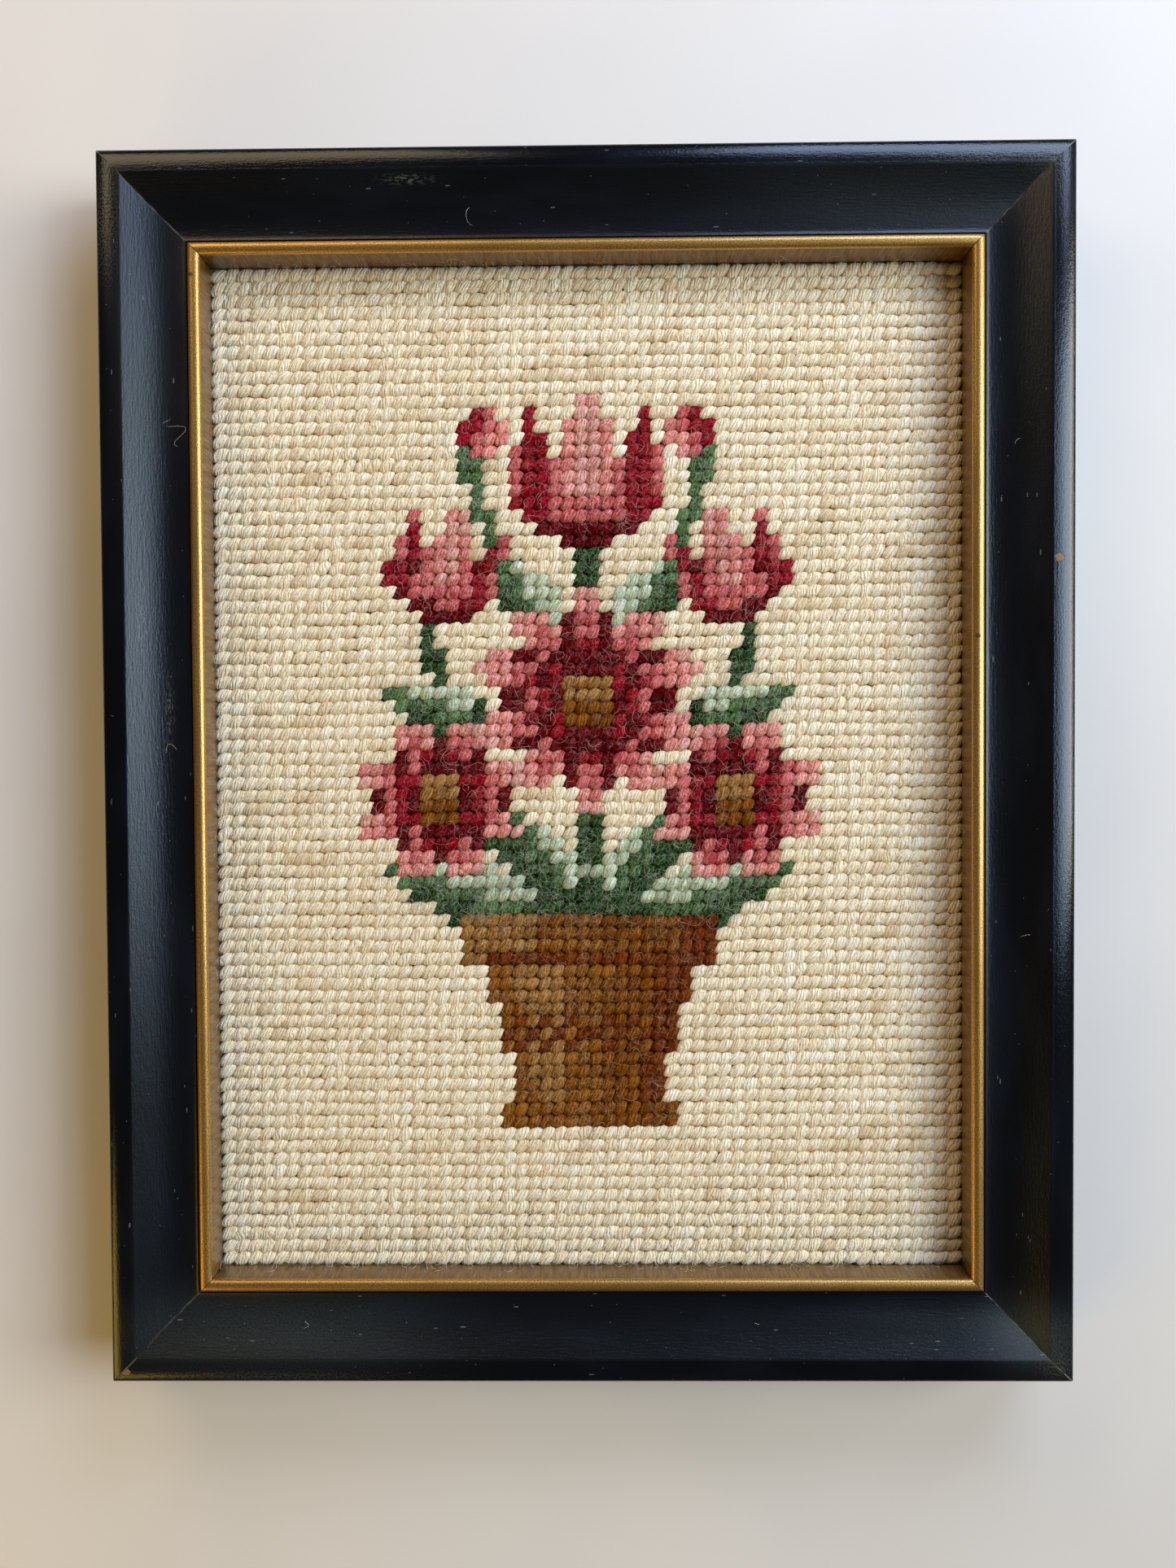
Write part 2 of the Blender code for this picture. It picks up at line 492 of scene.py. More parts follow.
@dataclass
class Chart:
    """A potted plant of daisies and tulips, charted one stitch to a cell.

    Places are in stitches: x from the picture's upright centre line, y up from its lower edge. Each motif
    colours the cells of a mask, and what comes later covers what came before.

    Attributes:
        columns: stitches across.
        rows: stitches up.
        stem_points: places along a stem that the cells are compared with.
        stem_reach: how near to one of them the middle of a stem's cell lies.
        cells: the yarn of each cell.
        x: the place of each cell's middle across the picture.
        y: its place up the picture.
    """

    columns: int = 58
    rows: int = 79
    stem_points: int = 160
    stem_reach: float = 0.62
    cells: np.ndarray = field(init=False)
    x: np.ndarray = field(init=False)
    y: np.ndarray = field(init=False)

    def __post_init__(self) -> None:
        """Lays out the empty cells."""
        across = np.arange(self.columns) - (self.columns - 1) / 2
        up = np.arange(self.rows) + 0.5
        self.x, self.y = np.meshgrid(across, up)
        self.cells = np.full(self.x.shape, int(Yarn.CREAM))

    def put(self, mask: np.ndarray, yarn: Any) -> None:
        """Colours the cells of a mask with one yarn or with an array of them."""
        self.cells[mask] = np.broadcast_to(yarn, self.cells.shape)[mask]

    @staticmethod
    def bands(value: np.ndarray, edges: list[float], yarns: list[Yarn]) -> np.ndarray:
        """Gives each cell the yarn of the band that its value falls in."""
        return np.array([int(yarn) for yarn in yarns])[np.searchsorted(edges, value)]

    def stem(self, root: Point, tip: Point, bow: Point, side: int, yarn: Yarn) -> None:
        """A thin curved line of stitches: the cells near a quadratic curve.

        Args:
            root: where it starts.
            tip: where it ends.
            bow: how far its middle is pulled aside.
            side: 1 for the right half of the picture, -1 for the left half.
            yarn: its wool.
        """
        share = np.linspace(0, 1, self.stem_points)[:, None, None]
        middle = [(root[axis] + tip[axis]) / 2 + bow[axis] for axis in (0, 1)]
        weights = ((1 - share) ** 2, 2 * share * (1 - share), share**2)
        at = [sum(w * p[axis] for w, p in zip(weights, (root, middle, tip))) for axis in (0, 1)]
        away = np.min(np.hypot(self.x - side * at[0], self.y - at[1]), axis=0)
        self.put(away < self.stem_reach, int(yarn))

    def leaf(self, root: Point, tip: Point, width: float, side: int) -> None:
        """A pointed leaf: a sine bulge about a straight rib, light above the rib and dark below it.

        Args:
            root: where it starts.
            tip: where it ends.
            width: half its greatest width.
            side: 1 for the right half of the picture, -1 for the left half.
        """
        start = np.array([root[0] * side, root[1]])
        run = np.array([tip[0] * side, tip[1]]) - start
        length = np.hypot(*run)
        heading = run / length
        along = ((self.x - start[0]) * heading[0] + (self.y - start[1]) * heading[1]) / length
        off = ((self.y - start[1]) * heading[0] - (self.x - start[0]) * heading[1]) * side
        half = width * np.sin(np.pi * np.clip(along, 0, 1) ** 0.8) + 0.25
        inside = (along > -0.02) & (along < 1.02) & (np.abs(off) < half)
        tone = self.bands(-off, [-0.55, 0.75], [Yarn.SAGE, Yarn.FERN, Yarn.PINE])
        self.put(inside, np.where(along < 0.22, int(Yarn.PINE), tone))

    def tilted(self, foot: Point, side: int, tilt: float) -> tuple[np.ndarray, np.ndarray]:
        """Turns the cells' places about a flower's foot.

        Args:
            foot: where the flower starts.
            side: 1 for the right half of the picture, -1 for the left half.
            tilt: how far the flower leans outwards, in degrees.

        Returns:
            The places across and along the flower.
        """
        angle = math.radians(tilt) * side
        right, up = self.x - foot[0] * side, self.y - foot[1]
        across = (right * math.cos(angle) + up * math.sin(angle)) * side
        return across, up * math.cos(angle) - right * math.sin(angle)

    def tulip(self, foot: Point, height: float, half: float, side: int, tilt: float) -> None:
        """A cup with a rounded base, whose rim is the higher of one middle petal and two side petals.

        Args:
            foot: where it starts.
            height: how tall it is.
            half: half its width.
            side: 1 for the right half of the picture, -1 for the left half.
            tilt: how far it leans outwards, in degrees.
        """
        x, y = self.tilted(foot, side, tilt)
        share, off = y / height, np.abs(x) / half
        edge = np.sqrt(np.clip(1 - 0.35 * ((share - 0.45) / 0.55) ** 2, 0, 1))
        edge = edge * np.sqrt(np.clip(share / 0.25, 0, 1))
        middle = 1.0 - 0.4 * (off / 0.45) ** 2
        outer = 0.92 - 0.55 * ((off - 0.78) / 0.32) ** 2
        inside = (share >= 0) & (off <= edge) & (share <= np.maximum(middle, outer))
        shown = middle > outer
        core = self.bands(off - 0.1 * share, [0.06, 0.24], [Yarn.SHELL, Yarn.PINK, Yarn.ROSE])
        sides = self.bands(off, [0.58, 0.8], [Yarn.WINE, Yarn.CRIMSON, Yarn.ROSE])
        tone = np.where(shown, core, sides)
        tone = np.where(share < 0.36, self.bands(off, [0.55], [Yarn.ROSE, Yarn.CRIMSON]), tone)
        tone = np.where(share < 0.18, int(Yarn.WINE), tone)
        self.put(inside, tone)

    def bud(self, foot: Point, side: int, tilt: float) -> None:
        """A closed bud: an egg shape, rose on one side and crimson on the other, in a green cup.

        Args:
            foot: where it starts.
            side: 1 for the right half of the picture, -1 for the left half.
            tilt: how far it leans outwards, in degrees.
        """
        x, y = self.tilted(foot, side, tilt)
        inside = (x / 1.75) ** 2 + ((y - 2.2) / 2.6) ** 2 < 1
        tone = self.bands(x, [-0.6, 0.6], [Yarn.PINK, Yarn.ROSE, Yarn.CRIMSON])
        self.put(inside, np.where(y < 1.1, int(Yarn.FERN), tone))

    def daisy(self, centre: Point, radius: float, petals: int, side: int, turn: float) -> None:
        """A round flower: petals where a cosine of the angle is high, from a dark heart to pale tips.

        Args:
            centre: its middle.
            radius: its radius.
            petals: how many petals it has.
            side: 1 for the right half of the picture, -1 for the left half.
            turn: how far it is turned, in degrees.
        """
        x = self.x * side - centre[0]
        y = self.y - centre[1]
        reach = np.hypot(x, y) / radius
        wave = np.cos(petals * (np.arctan2(y, x) + math.radians(turn)))
        rings = [Yarn.WINE, Yarn.CRIMSON, Yarn.ROSE, Yarn.PINK, Yarn.SHELL]
        tone = self.bands(reach - 0.1 * wave, [0.38, 0.5, 0.66, 0.84], rings)
        tone = np.where((wave < -0.6) & (reach > 0.36), int(Yarn.WINE), tone)
        tone = np.where(reach < 0.27, int(Yarn.HONEY), tone)
        tone = np.where((reach < 0.27) & (y < -0.3), int(Yarn.UMBER), tone)
        self.put(reach <= 0.85 + 0.15 * wave, tone)

    def pot(self) -> None:
        """A tapering flowerpot with a rim, a foot and a chequered band, lit from the left."""
        foot, top = 12.0, 25.0
        half = 5.4 + 2.9 * (self.y - foot) / (top - foot)
        body = (self.y > foot) & (self.y < top) & (np.abs(self.x) <= half)
        browns = [Yarn.TAN, Yarn.HONEY, Yarn.TAN, Yarn.UMBER, Yarn.PLUM]
        self.put(body, self.bands(self.x / half, [-0.75, -0.3, 0.2, 0.68], browns))
        band = body & (self.y > 17) & (self.y < 20)
        checks = (np.floor(np.abs(self.x)) + np.floor(self.y)) % 2 == 0
        self.put(band & checks, int(Yarn.PLUM))
        rim_half = 9.6
        rim = (self.y > top - 1) & (self.y < top + 2.6) & (np.abs(self.x) <= rim_half)
        self.put(rim, self.bands(self.x / rim_half, [-0.45, 0.15, 0.7], browns[1:]))
        self.put((self.y > top - 1.1) & (self.y < top) & (np.abs(self.x) <= 8.2), int(Yarn.PLUM))
        foot_half = 6.6
        base = (self.y > foot - 1.1) & (self.y < foot + 1) & (np.abs(self.x) <= foot_half)
        self.put(base, self.bands(self.x / foot_half, [0.0], [Yarn.TAN, Yarn.UMBER]))

    def draw(self) -> np.ndarray:
        """Charts the plant from back to front.

        Returns:
            The yarn of each cell, row by row from the lower edge.
        """
        for side in (1, -1):
            self.stem((0.5, 27), (12.5, 52), (4.5, -5), side, Yarn.PINE)
            self.stem((0.5, 27), (11.5, 36), (3, -2), side, Yarn.FERN)
            self.stem((0.5, 50), (9.4, 64), (2.5, -3), side, Yarn.FERN)
            self.stem((0.5, 26), (0.5, 60), (0, 0), side, Yarn.PINE)
            self.leaf((0.8, 48), (8.2, 57), 2.0, side)
            self.leaf((2, 27), (15.5, 31.5), 2.4, side)
            self.leaf((7.4, 42.5), (16.5, 46), 2.0, side)
            self.leaf((0.5, 28), (6.2, 36), 2.0, side)
            self.bud((9.5, 63.4), side, 30)
            self.tulip((12.6, 51.0), 9.6, 4.3, side, 20)
            self.daisy((11.6, 37.0), 6.9, 8, side, 22.5)
        self.tulip((0, 57.0), 12.0, 5.7, 1, 0)
        self.daisy((0, 45.0), 9.2, 10, 1, 18)
        self.pot()
        return self.cells


@dataclass
class Lie:
    """How each of many stitches lies.

    Attributes:
        middle: its middle in plan.
        heading: its direction in plan.
        reach: half its length in plan.
        width: half its width.
        plump: half its height.
        twist: turns of its plies from end to end.
        start: the turn that they begin at.
        tone: how light it is, from -1 to 1.
    """

    middle: np.ndarray
    heading: np.ndarray
    reach: np.ndarray
    width: np.ndarray
    plump: np.ndarray
    twist: np.ndarray
    start: np.ndarray
    tone: np.ndarray

    def only(self, chosen: np.ndarray) -> "Lie":
        """The stitches of a mask."""
        return Lie(*(getattr(self, part.name)[chosen] for part in fields(self)))


@dataclass(frozen=True)
class StrandShape:
    """A strand of yarn that comes up through the canvas, arches over it and goes down again.

    Attributes:
        crest: the height of its outermost point.
        foot: the height that its ends sink to, on the other side of the crest.
        along: the shares of its length that rings stand at.
        outer_points: points of a ring over its outer half, where it shows.
        inner_points: points over the half that faces the canvas.
        square: the power of its section; 2 is an ellipse, and more is flatter on top and fuller beside.
        skew: how far its ends are cut towards the row's own direction.
        plies: ridges round it.
        ply_depth: how deep the grooves between them are, as a share of the strand.
        blunt: the power of its outline in plan; a larger one gives squarer ends.
        arch: the power of the arch; a larger one gives a flatter top.
    """

    crest: float
    foot: float
    along: tuple[float, ...] = (0.02, 0.13, 0.36, 0.64, 0.87, 0.98)
    outer_points: int = 9
    inner_points: int = 1
    square: float = 2.2
    skew: float = 0.32
    plies: int = 6
    ply_depth: float = 0.045
    blunt: float = 2.8
    arch: float = 1.9

    def angles(self) -> np.ndarray:
        """Angles round the strand from its right side over its outer half, and back under it.

        Returns:
            The angles in radians.
        """
        outer = np.linspace(0, np.pi, self.outer_points)
        inner = np.linspace(np.pi, 2 * np.pi, self.inner_points + 2)[1:-1]
        return np.concatenate([outer, inner])

    def rings(self, lie: Lie) -> tuple[np.ndarray, np.ndarray]:
        """Works out the rings of all strands at once.

        A strand is straight in plan. Where u runs from 0 to 1 along it, it stands out from the canvas by
        the arch 1 - |2u - 1| to a power. Its ring is a squarish ellipse, cosine and sine each to the power
        of 2 by square, that narrows towards the ends as the cube root of 1 - |2u - 1| to the power blunt.
        A cosine of the angle, turned by the twist, adds the plies, and the ring is slid along the strand
        by its side times the skew.

        Args:
            lie: how the stitches lie.

        Returns:
            The rings as (strand, ring, point, xyz), and the two end points of each strand.
        """
        share = np.array(self.along)[None, :, None]
        angle = self.angles()[None, None, :]
        each = {part.name: getattr(lie, part.name)[:, None, None] for part in fields(lie)}
        out = 1.0 if self.crest > self.foot else -1.0
        arch = 1 - np.abs(2 * share - 1) ** self.arch
        thick = (1 - np.abs(2 * share - 1) ** self.blunt) ** (1 / 3)
        turned = angle + 2 * np.pi * (each["twist"] * share + each["start"])
        thick = thick * (1 + self.ply_depth * np.cos(self.plies * turned))
        cos, sin = (
            np.sign(part) * np.abs(part) ** (2 / self.square) for part in (np.cos(angle), np.sin(angle))
        )
        side = each["width"] * thick * cos
        outward = each["plump"] * thick * sin
        line = self.foot + (self.crest - out * each["plump"] - self.foot) * arch
        lean = np.sign(share - 0.5) * np.abs(2 * share - 1) ** 2 * 0.5
        run = each["reach"] * (2 * share - 1) + outward * lean + side * self.skew
        heading = lie.heading[:, None, None, :]
        right = out * np.stack([heading[..., 1], -heading[..., 0]], axis=-1)
        plan = lie.middle[:, None, None, :] + run[..., None] * heading + side[..., None] * right
        rings = np.concatenate([plan, (line + out * outward)[..., None]], axis=-1)
        tips = []
        for way in (-1, 1):
            flat = lie.middle + way * 1.02 * lie.reach[:, None] * lie.heading
            tips.append(np.concatenate([flat, np.full((len(flat), 1), self.foot)], axis=-1))
        return rings, np.stack(tips, axis=1)

    def piece(self, name: str, wool: bpy.types.Material, lie: Lie, seed: int) -> bpy.types.Object:
        """Makes one piece of many strands, mapped across and along their plies.

        Args:
            name: the piece's name.
            wool: its material.
            lie: how the stitches lie.
            seed: the seed that shifts the fibres from strand to strand.

        Returns:
            The piece.
        """
        rings, ends = self.rings(lie)
        points, corners, sizes = join_rings(rings, ends)
        turns = np.append(self.angles() / (2 * np.pi), 1.0)
        run, turn = ring_map(np.array([0.0, *self.along, 1.0]), turns, len(rings))
        shift = np.random.default_rng(seed).uniform(0, 1, (2, len(rings), 1))
        across = (turn + lie.twist[:, None] * run) * 2 * np.pi * lie.width[:, None] + shift[0]
        along = run * 2 * lie.reach[:, None] + shift[1]
        # How far each point lies below the crest, which the wool darkens as painted shade in the grooves
        depth = np.abs(points[:, 2] - self.crest) / abs(self.crest - self.foot)
        surface = Surface(
            points,
            corners,
            sizes,
            maps={"yarn": np.stack([across, along], axis=-1).reshape(-1, 2)},
            values={"tone": np.repeat(lie.tone, len(points) // len(rings)), "sunk": np.clip(depth, 0, 1)},
        )
        return surface.to_object(name, [wool])


def make_strands(
    prefix: str,
    ground: StrandShape,
    others: StrandShape,
    lie: Lie,
    cells: np.ndarray,
    lots: np.ndarray,
    wools: dict[Yarn, bpy.types.Material],
    seed: int,
) -> list[bpy.types.Object]:
    """Makes a piece for each yarn, and several for the ground, because of the limit on one piece's faces.

    Args:
        prefix: the first words of the pieces' names.
        ground: the shape of the ground's strands.
        others: the shape of all other strands.
        lie: how the strands lie.
        cells: the yarn of each strand.
        lots: the piece of the ground that each strand goes to, counted from 0.
        wools: the material of each yarn.
        seed: the first of the seeds that shift the fibres.

    Returns:
        The pieces.
    """
    pieces = []
    for yarn in Yarn:
        is_ground = yarn is Yarn.CREAM
        shape = ground if is_ground else others
        for lot in range(lots.max() + 1 if is_ground else 1):
            chosen = (cells == int(yarn)) & (not is_ground or lots == lot)
            name = f"{prefix}_{yarn.name.lower()}" + (f"_{lot + 1}" if is_ground else "")
            pieces.append(shape.piece(name, wools[yarn], lie.only(chosen), seed + int(yarn) + 20 * lot))
    return pieces


@dataclass
class Stitching:
    """The right side of the picture: one plump slanting stitch over each crossing of the canvas.

    Attributes:
        layout: where the pieces stand.
        chart: the picture.
        wools: the material of each yarn.
        lean: the share of a column that a stitch shows sideways as it climbs one row.
        half_width: half a strand's width, a little more than its neighbours leave it.
        half_height: half its height.
        twist: turns of the plies along one stitch.
        overlap: how far a stitch reaches in among the next row's, as a share of its own row.
        sink: how deep its ends go, and its crest, below the front of the sheet.
        wander: how far the columns and the rows stray from straight lines.
        ground_fullness: how much wider the ground's stitches are, since they were worked in long even rows.
        ground_skew: how far the ends of the ground's stitches are cut towards the row's own direction.
        ground_arch: the power of their arch.
        ground_lots: pieces that the ground is split into.
    """

    layout: Layout
    chart: Chart
    wools: dict[Yarn, bpy.types.Material]
    lean: float = 0.54
    half_width: float = 1.3 * MM
    half_height: float = 0.72 * MM
    twist: float = -0.05
    overlap: float = 1.14
    sink: Point = (1.3 * MM, 0.05 * MM)
    wander: Point = (0.25 * MM, 0.3 * MM)
    ground_fullness: float = 1.12
    ground_skew: float = 0.5
    ground_arch: float = 2.4
    ground_lots: int = 3

    def lie(self) -> Lie:
        """Lays every stitch, as uneven as hand work: rows wander, and strands differ in slant and fullness.

        Returns:
            How the stitches lie.
        """
        random = np.random.default_rng(11)
        half_x, half_y = self.layout.sight
        pitch_x, pitch_y = 2 * half_x / self.chart.columns, 2 * half_y / self.chart.rows
        x = (self.chart.x * pitch_x).ravel()
        y = (self.chart.y * pitch_y - half_y).ravel()
        count = len(x)
        held = (1 - (x / half_x) ** 2) * (1 - (y / half_y) ** 2)
        loose = slow_waves(x, y, 14 * MM, 5)
        row = np.repeat(np.arange(self.chart.rows), self.chart.columns)
        stray_x = self.wander[0] * held * slow_waves(x, y, 40 * MM, 3)
        stray_y = self.wander[1] * held * slow_waves(x, y, 60 * MM, 4)
        turned = random.normal(0, 4.5, count) + 3 * loose
        slant = np.arctan2(pitch_y, pitch_x * self.lean) + np.radians(turned)
        length = np.hypot(pitch_x * self.lean, pitch_y)
        row_tone = random.normal(0, 0.1, self.chart.rows)[row]
        fullness = np.where(self.chart.cells.ravel() == int(Yarn.CREAM), self.ground_fullness, 1.0)
        return Lie(
            middle=np.stack([x + stray_x, y + stray_y], axis=-1) + random.normal(0, 0.07 * MM, (count, 2)),
            heading=np.stack([np.cos(slant), np.sin(slant)], axis=-1),
            reach=self.overlap * 0.5 * length * random.normal(1.0, 0.03, count),
            width=self.half_width * fullness * random.normal(1.0, 0.06, count),
            plump=self.half_height * (random.normal(1.0, 0.08, count) + 0.06 * loose),
            twist=self.twist * random.normal(1.0, 0.8, count),
            start=random.uniform(0, 1, count),
            tone=np.clip(row_tone + 0.15 * loose + random.normal(0, 0.22, count), -1, 1),
        )

    def build(self) -> list[bpy.types.Object]:
        """Makes one piece for each yarn, and several for the ground.

        Returns:
            The pieces.
        """
        front = self.layout.sheet_front
        worked = StrandShape(crest=front - self.sink[1], foot=front - self.sink[0])
        filled = replace(worked, skew=self.ground_skew, arch=self.ground_arch)
        cells = self.chart.cells.ravel()
        lots = np.random.default_rng(12).integers(0, self.ground_lots, len(cells))
        return make_strands("stitches", filled, worked, self.lie(), cells, lots, self.wools, 70)


@dataclass
class WrongSide:
    """The back of the work: long flat strands, each from one stitch's end to the next one's start.

    Attributes:
        layout: where the pieces stand.
        chart: the picture.
        wools: the material of each yarn.
        beyond: rows and columns worked past the opening on each side.
        half_length: half a strand's length as a share of a column.
        climb: the share of a row that a strand climbs.
        half_width: half its width.
        half_height: half its height.
        sink: how deep its ends go, and its crest, into the sheet from the back.
        twist: turns of the plies along one strand.
        ground_lots: pieces that the ground is split into.
    """

    layout: Layout
    chart: Chart
    wools: dict[Yarn, bpy.types.Material]
    beyond: int = 2
    half_length: float = 0.95
    climb: float = 0.62
    half_width: float = 0.85 * MM
    half_height: float = 0.5 * MM
    sink: Point = (1.3 * MM, 0.05 * MM)
    twist: float = 0.3
    ground_lots: int = 2

    def build(self) -> list[bpy.types.Object]:
        """Makes one piece for each yarn, and several for the ground.

        Returns:
            The pieces.
        """
        random = np.random.default_rng(21)
        cells = np.pad(self.chart.cells, self.beyond, constant_values=int(Yarn.CREAM))
        rows, columns = cells.shape
        half_x, half_y = self.layout.sheet
        pitch_x, pitch_y = 2 * half_x / columns, 2 * half_y / rows
        column, row = np.meshgrid(np.arange(columns), np.arange(rows))
        x = (column.ravel() - (columns - 1) / 2) * pitch_x
        y = (row.ravel() - (rows - 1) / 2) * pitch_y
        count = len(x)
        # A strand beside the sheet's edge is short and lies still, so that it stays on the sheet
        reach = np.minimum(pitch_x * self.half_length, half_x - np.abs(x) - 0.1 * MM)
        slant = np.arctan2(pitch_y * self.climb, 2 * reach) + np.radians(random.normal(0, 4, count))
        stray = random.normal(0, 0.08 * MM, (count, 2)) * (reach > pitch_x / 2)[:, None]
        lie = Lie(
            middle=np.stack([x, y], axis=-1) + stray,
            heading=np.stack([np.cos(slant), np.sin(slant)], axis=-1),
            reach=reach * random.normal(1.0, 0.04, count),
            width=self.half_width * random.normal(1.0, 0.1, count),
            plump=self.half_height * random.normal(1.0, 0.08, count),
            twist=self.twist * random.normal(1.0, 0.2, count),
            start=random.uniform(0, 1, count),
            tone=np.clip(random.normal(-0.1, 0.25, count), -1, 1),
        )
        shape = StrandShape(
            crest=self.layout.sheet_back + self.sink[1],
            foot=self.layout.sheet_back + self.sink[0],
            along=(0.15, 0.85),
            outer_points=5,
            skew=0.0,
            ply_depth=0.0,
            arch=4.0,
        )
        lots = np.arange(count) % self.ground_lots
        return make_strands("back_strands", shape, shape, lie, cells.ravel(), lots, self.wools, 170)


@dataclass(frozen=True)
class LooseFibre:
    """Single wool fibres, paler than their yarn because so little dye is in the way of the light.

    Attributes:
        name: the material's name.
        pale: the colour of a fibre in the light.
        dyed: the colour of one that lies low.
    """

    name: str
    pale: str
    dyed: str

    def build(self) -> bpy.types.Material:
        """Makes the material, its tone changing every few millimetres, from fibre to fibre.

        Returns:
            The material.
        """
        material, tree = start_material(self.name)
        here = add_node(tree, "TexCoord").outputs["Object"]
        drift = soft_grains(tree, here, (2.5 * MM, 2.5 * MM, 0.8 * MM), 1.0)
        share = add_node(tree, "MapRange", drift, 0.35, 0.65, interpolation_type="SMOOTHSTEP")
        colour = add_node(tree, "Mix", share, linear(self.dyed), linear(self.pale), data_type="RGBA")
        look = {"Base Color": colour, "Roughness": 0.6, "Sheen Weight": 0.3}
        add_node(tree, "OutputMaterial", add_node(tree, "BsdfPrincipled", named=look))
        return material


@dataclass
class LooseFibres:
    """Single wool fibres that stand out of the yarn, some of them over the gilt edge and the paint.

    Attributes:
        layout: where the pieces stand.
        chart: the picture.
        half_width: half a fibre's width, a little more than real wool's so that it shows.
        joints: points along each fibre.
        root: how deep below the front of the sheet the fibres start.
        margin: how far from the edges of the opening the tufts stay.
        wall_gap: how far from the gilt wall the fibres along the edges turn up.
        climb: how far they go up it for each step that they would have gone on.
        tufts: for each piece, the yarns that it grows from, how many fibres it has, and their finish.
        edges: for each side, how many fibres stand along it and the heading in degrees out of the picture.
        lying: for each fibre of lint, x, y, its heading in degrees, its length and the height that it lies
            at, all in millimetres.
    """

    layout: Layout
    chart: Chart
    half_width: float = 0.024 * MM
    joints: int = 9
    root: float = 0.25 * MM
    margin: float = 4 * MM
    wall_gap: float = 0.12 * MM
    climb: float = 1.2
    tufts: tuple[tuple[str, set, int, LooseFibre], ...] = (
        (
            "green_fibres",
            {Yarn.PINE, Yarn.FERN, Yarn.SAGE},
            1600,
            LooseFibre("loose_green_wool", "B9C6AC", "5F7A58"),
        ),
        (
            "red_fibres",
            {Yarn.WINE, Yarn.CRIMSON, Yarn.ROSE, Yarn.PINK, Yarn.SHELL},
            900,
            LooseFibre("loose_red_wool", "E9C2B8", "A5545A"),
        ),
        (
            "brown_fibres",
            {Yarn.PLUM, Yarn.UMBER, Yarn.TAN, Yarn.HONEY},
            320,
            LooseFibre("loose_brown_wool", "C9AC84", "7C5630"),
        ),
        ("ground_fibres", {Yarn.CREAM}, 600, LooseFibre("loose_cream_wool", "FBF4E2", "D2C09A")),
    )
    edges: tuple[tuple[int, int], ...] = ((120, 90), (70, 180), (150, 270), (80, 0))
    lying: tuple[tuple[float, ...], ...] = (
        (-78.2, 68.0, 250, 9, 14.35),
        (-77.0, 61.0, 100, 5, 14.25),
        (-80.5, 3.0, 70, 3, 14.9),
        (-20.0, 106.0, 200, 4, 14.6),
        (83.0, -35.0, 80, 3.5, 15.6),
        (30.0, -106.5, 10, 5, 14.7),
        (-55.0, -108.0, 40, 3, 15.1),
        (81.0, 60.0, 120, 4, 14.8),
    )

    def paths(
        self, start: np.ndarray, heading: np.ndarray, length: np.ndarray, rise: np.ndarray, seed: int
    ) -> np.ndarray:
        """Curls each fibre: its heading turns steadily, it swings aside in a sine and rises in half a sine.

        Args:
            start: where the fibres leave the yarn.
            heading: the angle that each sets out at.
            length: how far each goes in plan.
            rise: how high each stands at its middle.
            seed: the seed of their curls.

        Returns:
            Points as (fibre, point, xyz).
        """
        random = np.random.default_rng(seed)
        count = len(start)
        share = np.linspace(0, 1, self.joints)[None, :]
        swing = random.normal(0, 0.2, (count, 1)) * np.sin(np.pi * share)
        swing = swing + random.normal(0, 0.1, (count, 1)) * np.sin(2.6 * np.pi * share)
        bend = heading[:, None] + random.normal(0, 2.6, (count, 1)) * share
        step = length[:, None] / (self.joints - 1)
        aside = length[:, None] * swing
        x = start[:, :1] + np.cumsum(np.cos(bend) * step, axis=1) - aside * np.sin(bend)
        y = start[:, 1:2] + np.cumsum(np.sin(bend) * step, axis=1) + aside * np.cos(bend)
        z = start[:, 2:3] + rise[:, None] * np.sin(np.pi * share * random.uniform(0.6, 1.0, (count, 1)))
        return np.stack([x, y, z], axis=-1)

    def piece(self, name: str, paths: np.ndarray, wool: bpy.types.Material) -> bpy.types.Object:
        """Makes tubes along the paths, each ring a triangle square to its path.

        Args:
            name: the piece's name.
            paths: points as (fibre, point, xyz).
            wool: the fibres' material.

        Returns:
            The piece.
        """
        # The tiny addend keeps a fibre that stands upright from a division by zero
        tiny = 1e-12
        run = np.gradient(paths, axis=1)
        run /= np.linalg.norm(run, axis=-1, keepdims=True) + tiny
        side = np.stack([run[..., 1], -run[..., 0], np.zeros(run.shape[:2])], axis=-1)
        side /= np.linalg.norm(side, axis=-1, keepdims=True) + tiny
        angle = np.radians([-30.0, 90.0, 210.0])[None, None, :, None]
        around = side[:, :, None] * np.cos(angle) + np.cross(side, run)[:, :, None] * np.sin(angle)
        rings = (paths[:, :, None] + self.half_width * around)[:, 1:-1]
        points, corners, sizes = join_rings(rings, paths[:, [0, -1]])
        return Surface(points, corners, sizes).to_object(name, [wool])

    def tuft(self, yarns: set[Yarn], count: int, seed: int) -> np.ndarray:
        """Curls fibres that start anywhere in the cells of some yarns.

        Args:
            yarns: the yarns that they grow from.
            count: how many there are.
            seed: the seed of their places.

        Returns:
            Points as (fibre, point, xyz).
        """
        random = np.random.default_rng(seed)
        half = np.array(self.layout.sight)
        cell = 2 * half / (self.chart.columns, self.chart.rows)
        worked = np.argwhere(np.isin(self.chart.cells, [int(yarn) for yarn in yarns]))[:, ::-1]
        plan = (worked[random.integers(0, len(worked), count)] + random.uniform(0, 1, (count, 2))) * cell
        plan = np.clip(plan - half, self.margin - half, half - self.margin)
        start = np.column_stack([plan, np.full(count, self.layout.sheet_front - self.root)])
        length = random.gamma(6.0, 0.6 * MM, count)
        rise = random.gamma(3.0, 0.15 * MM, count) + 0.12 * MM
        return self.paths(start, random.uniform(0, 2 * np.pi, count), length, rise, seed + 10)

